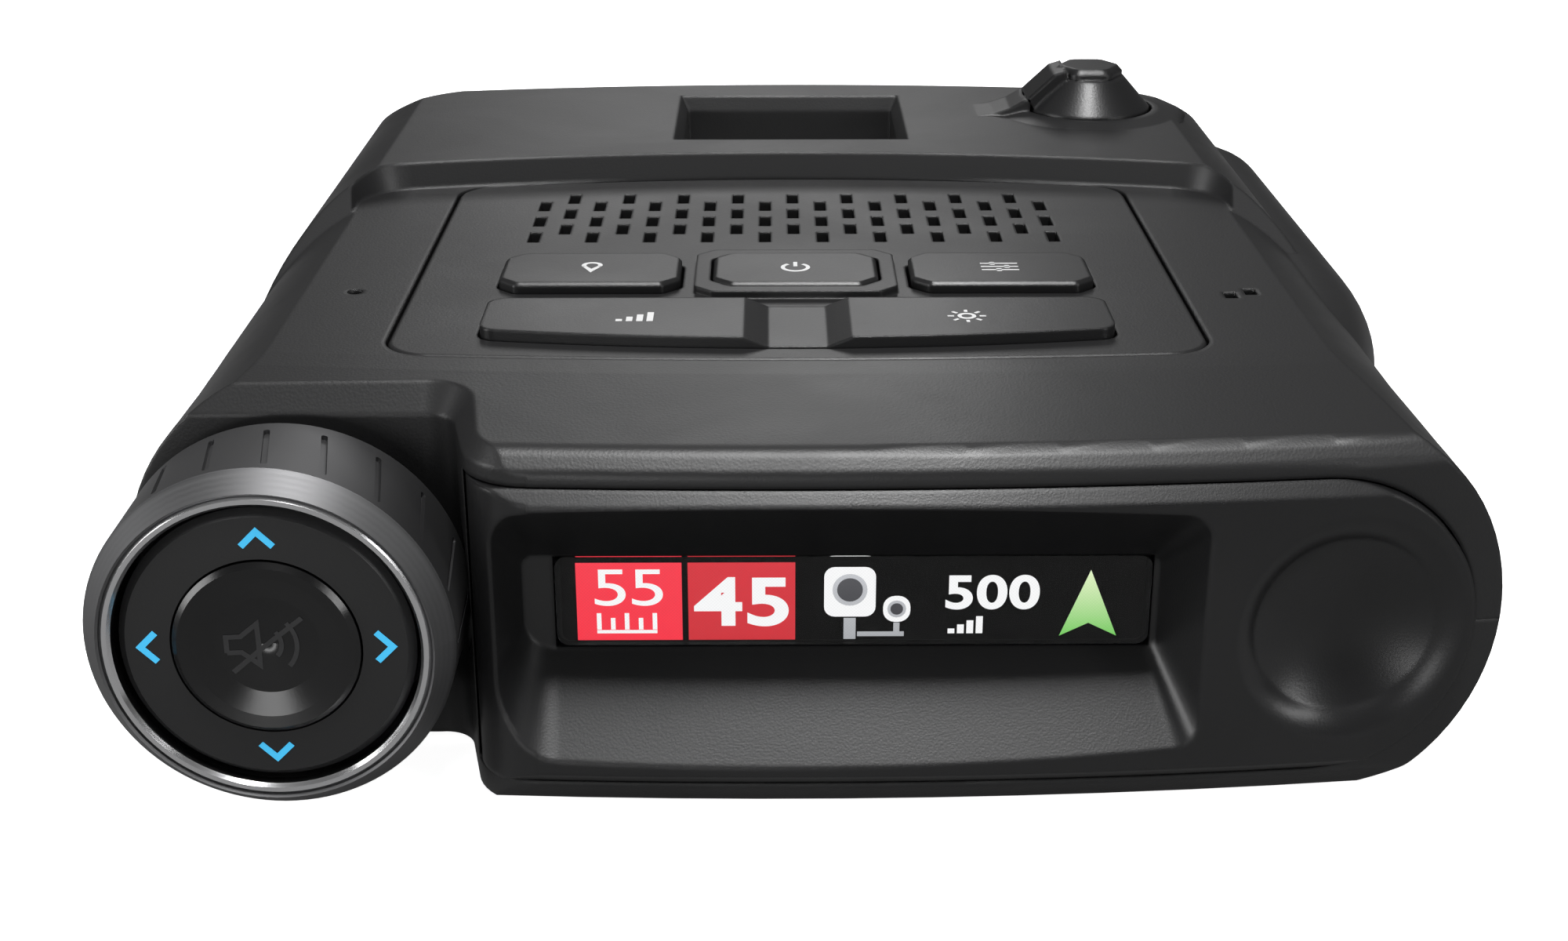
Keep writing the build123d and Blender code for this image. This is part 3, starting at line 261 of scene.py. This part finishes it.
def box_loop(x0, x1, y0, y1, radius=0.0, steps=5):
    """Rectangle, with rounded corners if a radius is given."""
    if not radius:
        return [(x0, y0), (x1, y0), (x1, y1), (x0, y1)]
    corners = ((x1 - radius, y0 + radius, -90), (x1 - radius, y1 - radius, 0),
               (x0 + radius, y1 - radius, 90), (x0 + radius, y0 + radius, 180))
    return [point for x, y, start in corners for point in arc(x, y, radius, start, start + 90, steps)]


def inlay(name, loops, surface, thick, body, material):
    """Thin plate of outline loops in mm, laid on a body's surface; surface(u, v, h) gives the place."""
    mesh = bpy.data.meshes.new(name)
    made = bmesh.new()
    for loop in loops:
        top = [made.verts.new(Vector(surface(u, v, thick)) * MM) for u, v in loop]
        low = [made.verts.new(Vector(surface(u, v, 0.0)) * MM) for u, v in loop]
        made.faces.new(top)
        made.faces.new(low[::-1])
        for i in range(len(loop)):
            j = (i + 1) % len(loop)
            made.faces.new((low[i], low[j], top[j], top[i]))
    bmesh.ops.remove_doubles(made, verts=made.verts, dist=1e-7)
    bmesh.ops.recalc_face_normals(made, faces=made.faces)
    made.to_mesh(mesh)
    made.free()
    mesh.materials.append(material)
    piece = bpy.data.objects.new(name, mesh)
    bpy.context.scene.collection.objects.link(piece)
    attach(piece, body)


SCREEN_DROP = 0.35         # the glass bends the view up by this much, in mm
SCREEN_Y = glass_high.y / MM - 0.05
LAYER = 0.012              # step from one lit layer to the next, in mm
FILM = 0.01                # thickness of a lit layer, in mm


def on_screen(layer):
    """Upright plane bonded into the rear face of the glass; later layers stand nearer to the eye."""
    return lambda u, v, h: (u, SCREEN_Y - LAYER * layer - h, v - SCREEN_DROP)


def lit(name, low, high):
    """Emissive cells: two tones from bottom to top, a faint grid between, dark to bounced light."""
    material, tree, shader = finish(name, Base_Color=(0.0, 0.0, 0.0, 1), Roughness=0.5, Emission_Strength=1.0)
    place = wire(tree, "TexCoord").outputs["Object"]
    split = wire(tree, "SeparateXYZ", i0=place)
    rise = wire(tree, "MapRange", i0=split.outputs["Z"], i1=0.0094, i2=0.0146)
    tone = wire(tree, "MixRGB", i0=rise.outputs[0], i1=(*low, 1), i2=(*high, 1))
    cells = wire(tree, "TexChecker", Vector=place, Scale=9000.0, Color1=(1, 1, 1, 1),
                 Color2=(0.94, 0.94, 0.94, 1))
    grid = wire(tree, "MixRGB", {"blend_type": "MULTIPLY"}, i0=1.0, i1=tone.outputs[0], i2=cells.outputs[0])
    path = wire(tree, "LightPath").outputs
    bounced = wire(tree, "Math", {"operation": "ADD"}, i0=path["Glossy Depth"], i1=path["Diffuse Depth"])
    straight = wire(tree, "Math", {"operation": "LESS_THAN"}, i0=bounced.outputs[0], i1=0.5)
    shown = wire(tree, "MixRGB", i0=straight.outputs[0], i1=(0, 0, 0, 1), i2=grid.outputs[0])
    tree.links.new(shown.outputs[0], shader.inputs["Emission Color"])
    return material


def display_layer(name, loops, layer, material):
    """One flat film of the display."""
    inlay(name, loops, on_screen(layer), FILM, "root", material)


screen_black = plastic("screen_black", (0.001, 0.001, 0.001), (0.0016, 0.0016, 0.0018), 0.18, 0.25,
                       Specular_IOR_Level=0.0)
mask_left, mask_right = glass_low.x / MM + 0.3, glass_high.x / MM - 0.3
mask_low, mask_high = glass_low.z / MM + 0.4, glass_high.z / MM + 0.3
display_layer("screen_mask", [box_loop(mask_left, mask_right, mask_low, mask_high, 0.6)], 0, screen_black)
TILE_LOW, TILE_HIGH = 9.72, 15.35
bright_red = lit("lit_bright_red", (1.0, 0.035, 0.065), (1.0, 0.045, 0.075))
dark_red = lit("lit_dark_red", (0.66, 0.028, 0.04), (0.72, 0.035, 0.05))
display_layer("speed_tile", [box_loop(-14.7, -7.75, TILE_LOW, TILE_HIGH)], 1, bright_red)
display_layer("limit_tile", [box_loop(-7.35, -0.3, TILE_LOW, TILE_HIGH)], 1, dark_red)
lit_white = lit("lit_white", (1, 1, 1), (1, 1, 1))
DIGIT_HEIGHT = 0.72        # height of a digit in the font, as a part of its size


def figures(name, text, x, z, height, weight, stretch, spread):
    """Lit digits as a flat mesh, in mm; x and z are the middle, weight thickens the strokes."""
    curve = bpy.data.curves.new(name, "FONT")
    curve.body = text
    curve.align_x = curve.align_y = "CENTER"
    curve.size = height * MM / DIGIT_HEIGHT
    curve.space_character = spread
    curve.offset = weight * MM
    shape = bpy.data.objects.new(name + "_shape", curve)
    bpy.context.scene.collection.objects.link(shape)
    mesh = bpy.data.meshes.new_from_object(shape.evaluated_get(bpy.context.evaluated_depsgraph_get()))
    bpy.data.objects.remove(shape)
    low = Vector(map(min, *[v.co for v in mesh.vertices]))
    high = Vector(map(max, *[v.co for v in mesh.vertices]))
    middle = (low + high) / 2
    place = on_screen(2)
    for vertex in mesh.vertices:
        u = x + (vertex.co.x - middle.x) / MM * stretch
        v = z + (vertex.co.y - middle.y) / MM
        vertex.co = Vector(place(u, v, 0.0)) * MM
    mesh.materials.clear()
    mesh.materials.append(lit_white)
    piece = bpy.data.objects.new(name, mesh)
    bpy.context.scene.collection.objects.link(piece)
    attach(piece, "root")


figures("speed_figures", "55", -11.25, 13.55, 2.75, 0.0, 1.38, 0.93)
figures("limit_figures", "45", -3.85, 12.5, 3.45, 0.12, 1.3, 1.05)
figures("distance_figures", "500", 12.7, 13.15, 2.4, 0.09, 1.22, 1.05)
SCALE_X, SCALE_STEP = -13.4, 0.92
scale = []
for index in range(5):
    left = SCALE_X + SCALE_STEP * index
    scale.append(box_loop(left, left + 0.3, 10.5, 11.35 if index % 2 else 11.7))
scale.append(box_loop(SCALE_X, -9.42, 10.22, 10.46))
display_layer("speed_scale", scale, 2, lit_white)
BARS_X, BARS_STEP = 9.8, 0.62
bars = []
for index in range(4):
    left = BARS_X + BARS_STEP * index
    bars.append(box_loop(left, left + 0.45, 10.15, 10.5 + 0.3 * index))
display_layer("distance_scale", bars, 2, lit_white)
lit_green = lit("lit_green", (0.16, 0.62, 0.10), (0.86, 0.98, 0.62))
TIP, NOTCH, FOOT_LEFT, FOOT_RIGHT = (19.1, 14.75), (19.1, 10.9), (17.2, 9.95), (21.0, 9.95)
display_layer("heading_arrow", [[TIP, FOOT_LEFT, NOTCH], [TIP, NOTCH, FOOT_RIGHT]], 2, lit_green)
lit_grey = lit("lit_grey", (0.42, 0.43, 0.45), (0.62, 0.63, 0.66))
lit_dark = lit("lit_dark", (0.03, 0.03, 0.035), (0.10, 0.10, 0.11))
housings = [box_loop(1.6, 5.0, 11.4, 15.0, 0.7), box_loop(5.5, 7.3, 11.0, 12.9, 0.8)]
poles = [box_loop(2.9, 3.7, 9.75, 11.3), box_loop(3.8, 6.9, 9.95, 10.3), box_loop(6.2, 6.6, 10.3, 10.95)]
LARGE_EYE, SMALL_EYE = (3.3, 13.35), (6.4, 11.95)
rims = [arc(*LARGE_EYE, 1.15, 0, 360, 28)[:-1], arc(*SMALL_EYE, 0.62, 0, 360, 24)[:-1]]
eyes = [arc(*LARGE_EYE, 0.85, 0, 360, 28)[:-1], arc(*SMALL_EYE, 0.42, 0, 360, 24)[:-1]]
display_layer("sign_housings", housings, 1, lit_white)
display_layer("sign_poles", poles, 1, lit_grey)
display_layer("sign_rims", rims, 2, lit_grey)
display_layer("sign_lenses", eyes, 3, lit_dark)

# ---------------------------------------------------------------- dial
# Volume ring turned from aluminium bar, satin gunmetal anodised, with twenty milled grip slots
# and a diamond-cut front chamfer. A bright chromed trim ring is pressed in against its lip.
dial_low, dial_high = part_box("dial_ring")
DIAL_MIDDLE = (dial_low + dial_high) / 2


def lathe_marks():
    """Fine turning lines around the dial axis and a slow cloud in the anodising."""
    tree, given = group("lathe_marks", Tone=(0.3, 0.3, 0.3, 1), Bright_Tone=(0.5, 0.5, 0.5, 1),
                        Smooth=0.2, Dull=0.35, Fineness=14000.0)
    place = wire(tree, "TexCoord").outputs["Object"]
    from_axis = wire(tree, "VectorMath", {"operation": "SUBTRACT"}, i0=place, i1=tuple(DIAL_MIDDLE))
    split = wire(tree, "SeparateXYZ", i0=from_axis.outputs[0])
    flat = wire(tree, "CombineXYZ", i0=split.outputs["X"], i2=split.outputs["Z"])
    radius = wire(tree, "VectorMath", {"operation": "LENGTH"}, i0=flat.outputs[0])
    along = wire(tree, "Math", {"operation": "SUBTRACT"}, i0=radius.outputs["Value"], i1=split.outputs["Y"])
    lines = wire(tree, "TexNoise", {"noise_dimensions": "1D"}, W=along.outputs[0],
                 Scale=given["Fineness"], Detail=4.0).outputs["Fac"]
    cloud = wire(tree, "TexNoise", Vector=place, Scale=120.0, Detail=3.0)
    blend = wire(tree, "Math", {"operation": "MULTIPLY_ADD", "use_clamp": True}, i0=cloud.outputs["Fac"],
                 i1=0.4, i2=lines)
    mask = wire(tree, "MapRange", i0=blend.outputs[0], i1=0.45, i2=0.95)
    colour = wire(tree, "MixRGB", i0=mask.outputs[0], i1=given["Tone"], i2=given["Bright Tone"])
    rough = wire(tree, "MapRange", i0=lines, i1=0.3, i2=0.7, i3=given["Smooth"], i4=given["Dull"])
    return give(tree, colour.outputs[0], rough.outputs[0], lines)


TURNED = lathe_marks()
LATHE_DEPTH = 0.00001


def turned_metal(name, tone, bright, smooth, dull, bump):
    """Turned metal from two tones and two roughness values."""
    material = finish(name, Metallic=1.0)[0]
    given = {"Tone": (*tone, 1), "Bright Tone": (*bright, 1), "Smooth": smooth, "Dull": dull}
    return use(material, TURNED, bump, LATHE_DEPTH, given)


gunmetal = turned_metal("gunmetal", (0.13, 0.13, 0.133), (0.155, 0.155, 0.158), 0.50, 0.55, 0.06)
dress(gunmetal, "dial_ring")
bright_chrome = turned_metal("bright_chrome", (0.66, 0.66, 0.67), (0.78, 0.78, 0.79), 0.15, 0.21, 0.05)
dress(bright_chrome, "dial_trim")

# ---------------------------------------------------------------- direction pad and mute button
# The pad is satin black ABS over a gimbal, with four cyan arrows printed on it; their ink is given a
# painted glow. The button in its middle is dished and glossier, with a thin raised loudspeaker mark,
# barred, on its face; the mark's lighter grey is a painted highlight standing in for its glints.
pad_black = plastic("pad_black", (0.009, 0.009, 0.0095), (0.013, 0.013, 0.0135), 0.34, 0.42, 7000.0, 0.06)
dress(pad_black, "direction_pad")
button_black = plastic("button_black", (0.004, 0.004, 0.0042), (0.006, 0.006, 0.0065), 0.16, 0.24,
                       7000.0, 0.03)
dress(button_black, "mute_button")
AXIS_X, AXIS_Z = DIAL_MIDDLE.x / MM, DIAL_MIDDLE.z / MM
PAD_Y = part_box("direction_pad")[0].y / MM
ARROW_SINK, ARROW_THICK = 0.03, 0.04       # bedded in the pad by the first, in mm


def on_pad(u, v, h):
    """Face of the pad, u and v measured from the dial axis."""
    return (AXIS_X + u, PAD_Y + ARROW_SINK - h, AXIS_Z + v)


def ribbon(points, width, closed=False):
    """Loops of an even-width line along points, one four-sided loop for each span, mitred."""
    count = len(points)
    spans = []
    offsets = []
    for i in range(count):
        before = points[i - 1] if (closed or i > 0) else points[i]
        after = points[(i + 1) % count] if (closed or i < count - 1) else points[i]
        first = Vector((points[i][0] - before[0], points[i][1] - before[1]))
        second = Vector((after[0] - points[i][0], after[1] - points[i][1]))
        first = first.normalized() if first.length else second.normalized()
        second = second.normalized() if second.length else first
        normal = Vector((-first.y - second.y, first.x + second.x)).normalized()
        reach = width / 2 / max(0.35, normal.dot(Vector((-first.y, first.x))))
        offsets.append(normal * reach)
    for i in range(count if closed else count - 1):
        j = (i + 1) % count
        a, b = Vector(points[i]), Vector(points[j])
        corners = (a - offsets[i], b - offsets[j], b + offsets[j], a + offsets[i])
        spans.append([tuple(corner) for corner in corners])
    return spans


# Painted glow: the printed ink emits a little of its own colour, though it is no lamp.
cyan, tree, shader = finish("cyan_ink_painted_glow", Roughness=0.42, Emission_Strength=0.35)
ink = speckle(tree, 2600.0, 2.0, (0.035, 0.42, 0.78), (0.08, 0.62, 1.0))
tree.links.new(ink, shader.inputs["Base Color"])
tree.links.new(ink, shader.inputs["Emission Color"])
ARROW_FOOT, ARROW_TIP, ARROW_HALF, ARROW_WIDTH = 6.95, 7.95, 1.0, 0.42
for index, label in enumerate(("right", "up", "left", "down")):
    across, along = math.cos(math.radians(90 * index)), math.sin(math.radians(90 * index))
    bend = [(ARROW_FOOT, -ARROW_HALF), (ARROW_TIP, 0.0), (ARROW_FOOT, ARROW_HALF)]
    bend = [(a * across - b * along, a * along + b * across) for a, b in bend]
    inlay("arrow_" + label, ribbon(bend, ARROW_WIDTH), on_pad, ARROW_THICK, "pad", cyan)


RAY_Y = -70.0              # in front of everything, in mm
MARK_SINK, MARK_THICK = 0.01, 0.05         # bedded in the button by the first, in mm


def on_button(u, v, h):
    """Dished face of the mute button, found by a ray from in front of it; u and v from its axis."""
    start = Vector((AXIS_X + u, RAY_Y, AXIS_Z + v)) * MM
    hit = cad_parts["mute_button"].ray_cast(start, Vector((0, 1, 0)))[1]
    return (AXIS_X + u, hit.y / MM + MARK_SINK - h, AXIS_Z + v)


def dense(points, step=0.25):
    """Extra points along a line, so that it follows a dished face."""
    out = []
    for (ax, ay), (bx, by) in zip(points, points[1:]):
        count = max(1, round(math.hypot(bx - ax, by - ay) / step))
        out += [(ax + (bx - ax) * i / count, ay + (by - ay) * i / count) for i in range(count)]
    return out + [points[-1]]


STROKE, WAVE_STROKE = 0.32, 0.30
horn = [(-2.6, -0.55), (-2.6, 0.55), (-1.7, 0.55), (-0.6, 1.45), (-0.6, -1.45), (-1.7, -0.55), (-2.6, -0.55)]
mute_sign = ribbon(dense(horn), STROKE)
mute_sign += ribbon(arc(-0.4, 0, 1.25, -42, 42, 8), WAVE_STROKE)
mute_sign += ribbon(arc(-0.4, 0, 2.25, -42, 42, 10), WAVE_STROKE)
mute_sign += ribbon(dense([(-2.3, -1.9), (2.3, 1.9)]), STROKE)
# The mark's grey, far lighter than the near-black button, is a painted highlight standing in for the glints
# along its edges; its gloss (low roughness) is real.
mark_gloss_painted_glint = plastic("mark_gloss_painted_glint", (0.030, 0.030, 0.031), (0.045, 0.045, 0.046), 0.10, 0.16, 7000.0, 0.02)
inlay("mute_mark", mute_sign, on_button, MARK_THICK, "mute", mark_gloss_painted_glint)

# ---------------------------------------------------------------- keypad
# A separate panel of the case's charcoal plastic lies in a rebate, with three keys and a rocking
# bar that stand through it. The key caps are a softer, slightly glossier plastic with white marks.
panel_charcoal = plastic("panel_charcoal", (0.012, 0.012, 0.0125), (0.017, 0.017, 0.0175), 0.36, 0.44,
                         edge=0.0003)
dress(panel_charcoal, "keypad_panel")
key_charcoal = plastic("key_charcoal", (0.0095, 0.0095, 0.010), (0.014, 0.014, 0.0145), 0.30, 0.38,
                       6000.0, 0.08, 0.0003)
dress(key_charcoal, "mark_key", "power_key", "program_key", "level_bar")
white_ink, tree, shader = finish("white_ink", Roughness=0.5)
ink = speckle(tree, 3000.0, 2.0, (0.62, 0.62, 0.62), (0.85, 0.85, 0.85))
tree.links.new(ink, shader.inputs["Base Color"])
INK_LIFT, INK_THICK = 0.005, 0.02          # mm above the key, and mm thick


def key_mark(name, node, body, loops, x=None):
    """White printed mark on a key's top, in its middle or at x."""
    low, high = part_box(node)
    middle_x = (low.x + high.x) / 2 / MM if x is None else x
    middle_y = (low.y + high.y) / 2 / MM
    top = high.z / MM + INK_LIFT

    def on_key(u, v, h):
        return (middle_x + u, middle_y + v, top + h)

    inlay(name, loops, on_key, INK_THICK, body, white_ink)


pin = ribbon(arc(0, 0.5, 0.62, -30, 210, 18), 0.34)
pin += [[(-0.72, 0.25), (0.0, -1.3), (0.72, 0.25), (0.42, 0.25), (0.0, -0.4), (-0.42, 0.25)]]
key_mark("place_mark", "mark_key", "mark", pin)
power_sign = ribbon(arc(0, -0.1, 0.95, 125, 415, 24), 0.3) + ribbon([(0, 0.15), (0, 1.25)], 0.3)
key_mark("power_mark", "power_key", "power", power_sign)
sliders = []
for row, knob in ((0.8, -0.5), (0.0, 0.55), (-0.8, -0.1)):
    sliders.append(box_loop(-1.4, 1.4, row - 0.11, row + 0.11))
    sliders.append(box_loop(knob - 0.2, knob + 0.2, row - 0.34, row + 0.34, 0.1))
key_mark("menu_mark", "program_key", "program", sliders)
SIGNAL_X, SUN_X = -11.4, 11.9
signal = [box_loop(-1.3 + 0.72 * i, -0.85 + 0.72 * i, -1.0, -0.55 + 0.5 * i) for i in range(4)]
key_mark("signal_mark", "level_bar", "level", signal, SIGNAL_X)
RAY_FROM, RAY_TO = 0.9, 1.35
sun = ribbon(arc(0, 0, 0.52, 0, 360, 20)[:-1], 0.28, True)
for index in range(8):
    a, b = math.cos(math.radians(45 * index)), math.sin(math.radians(45 * index))
    sun += ribbon([(RAY_FROM * a, RAY_FROM * b), (RAY_TO * a, RAY_TO * b)], 0.24)
key_mark("brightness_mark", "level_bar", "level", sun, SUN_X)

# ---------------------------------------------------------------- rear window
# Dark red-black polycarbonate that passes the laser and radar bands, moulded in one piece,
# polished on both faces and set in the rear of the case.
window_tint = plastic("window_tint", (0.010, 0.005, 0.006), (0.013, 0.007, 0.008), 0.05, 0.11, 3000.0, 0.01)
dress(window_tint, "rear_window")

# ---------------------------------------------------------------- circuit boards
# Glass-fibre laminate under green solder mask: copper tracks show through as paler lines, and
# the weave of the cloth gives the surface a faint ripple.


def laminate():
    """Solder mask over copper tracks and woven glass."""
    tree, given = group("laminate", Pitch=620.0)
    place = wire(tree, "TexCoord").outputs["Object"]
    tracks = wire(tree, "TexBrick", Vector=place, Scale=given["Pitch"], Mortar_Size=0.12,
                  Color1=(0.006, 0.055, 0.022, 1), Color2=(0.008, 0.07, 0.028, 1),
                  Mortar=(0.016, 0.12, 0.05, 1))
    weave = wire(tree, "TexWave", Vector=place, Scale=900.0, Distortion=2.0).outputs["Fac"]
    rough = wire(tree, "MapRange", i0=weave, i3=0.24, i4=0.36)
    return give(tree, tracks.outputs["Color"], rough.outputs[0], weave)


board = use(finish("solder_mask")[0], laminate(), 0.08, 0.00002, {"Pitch": 620.0})
dress(board, "display_board", "pad_board", "key_board", "main_board", "radar_board", "laser_board",
      "camera_board")

# ---------------------------------------------------------------- metal parts
# Zinc-plated screws; tinned shield cans, pivot, socket shell, mount plate and magnets; and the
# die-cast radar horn, whose skin keeps the grain of the mould.
steel = plastic("zinc_plate", (0.24, 0.24, 0.25), (0.34, 0.34, 0.35), 0.26, 0.40, 2600.0, 0.10, Metallic=1.0)
dress(steel, "case_screws", "board_screws")
tin = plastic("tin_plate", (0.42, 0.42, 0.41), (0.56, 0.56, 0.55), 0.18, 0.34, 1800.0, 0.08, Metallic=1.0)
dress(tin, "bar_pivot", "shield_cans", "mount_plate", "mount_magnets", "usb_port")
cast = plastic("die_cast_zinc", (0.30, 0.30, 0.31), (0.40, 0.40, 0.41), 0.38, 0.55, 1500.0, 0.25,
               Metallic=1.0)
dress(cast, "radar_horn")

# ---------------------------------------------------------------- inner mouldings
# Filled nylon hubs and sockets, black epoxy chips and switches, grey silicone under the keys,
# foam and a dark panel behind the display, a heat-shrunk capacitor sleeve, a fired ceramic
# antenna patch and the black camera ball.
nylon = plastic("filled_nylon", (0.010, 0.010, 0.011), (0.017, 0.017, 0.018), 0.42, 0.58, 2200.0, 0.18)
dress(nylon, "dial_hub", "power_socket", "audio_jack", "card_slot", "encoder_wheel", "gimbal_ring")
epoxy = plastic("black_epoxy", (0.008, 0.008, 0.009), (0.015, 0.015, 0.016), 0.34, 0.50, 3200.0, 0.12)
dress(epoxy, "encoder_sensor", "pad_switches", "key_switches", "speaker", "microphone", "light_sensor",
      "wireless_module", "memory_card")
silicone = plastic("silicone", (0.20, 0.20, 0.20), (0.26, 0.26, 0.26), 0.45, 0.60, 1800.0, 0.06)
dress(silicone, "keypad_membrane")
gasket_foam = plastic("gasket_foam", (0.006, 0.006, 0.006), (0.011, 0.011, 0.011), 0.80, 0.95, 1400.0, 0.5)
dress(gasket_foam, "display_gasket")
panel_glass = plastic("panel_glass", (0.008, 0.008, 0.012), (0.011, 0.011, 0.016), 0.08, 0.15, 4000.0, 0.02)
dress(panel_glass, "display_panel")
shrink_sleeve = plastic("shrink_sleeve", (0.010, 0.020, 0.075), (0.014, 0.028, 0.10), 0.20, 0.32,
                        1500.0, 0.05)
dress(shrink_sleeve, "backup_capacitor")
fired_ceramic = plastic("fired_ceramic", (0.58, 0.54, 0.46), (0.68, 0.64, 0.56), 0.40, 0.62, 2600.0, 0.15)
dress(fired_ceramic, "gps_antenna")
camera_black = plastic("camera_black", (0.006, 0.006, 0.007), (0.010, 0.010, 0.011), 0.20, 0.30, 5200.0, 0.05)
dress(camera_black, "camera_ball")

# ---------------------------------------------------------------- speaker cloth
# Acoustic cloth of black monofilament in a plain weave, cut to the speaker's frame and glued
# under the slots of the keypad panel.


def cloth_weave():
    """Two crossed sets of threads."""
    tree, given = group("cloth_weave", Count=1500.0)
    place = wire(tree, "TexCoord").outputs["Object"]
    warp = wire(tree, "TexWave", {"bands_direction": "X"}, Vector=place, Scale=given["Count"])
    weft = wire(tree, "TexWave", {"bands_direction": "Y"}, Vector=place, Scale=given["Count"])
    over = wire(tree, "Math", {"operation": "MAXIMUM"}, i0=warp.outputs["Fac"],
                i1=weft.outputs["Fac"]).outputs[0]
    colour = wire(tree, "MixRGB", i0=over, i1=(0.001, 0.001, 0.001, 1), i2=(0.007, 0.007, 0.007, 1))
    rough = wire(tree, "MapRange", i0=over, i3=0.9, i4=0.65)
    return give(tree, colour.outputs[0], rough.outputs[0], over)


cloth = use(finish("acoustic_cloth")[0], cloth_weave(), 0.5, 0.00003, {"Count": 1500.0})
dress(cloth, "speaker_mesh")

# ---------------------------------------------------------------- lenses
# Polished dark glass with a bluish coat: the camera's lens in the turret's ball and the
# laser receiver's lens on its board behind the rear window.
lens, tree, shader = finish("coated_lens", Base_Color=(0.10, 0.11, 0.15, 1), Metallic=0.0, IOR=1.52,
                            Coat_Weight=0.6, Coat_Tint=(0.55, 0.60, 1.0, 1))
haze = wire(tree, "TexNoise", Scale=700.0, Detail=3.0)
clean = wire(tree, "MapRange", i0=haze.outputs["Fac"], i1=0.3, i2=0.8, i3=0.02, i4=0.06)
tree.links.new(clean.outputs[0], shader.inputs["Roughness"])
dress(lens, "camera_lens", "laser_lens")
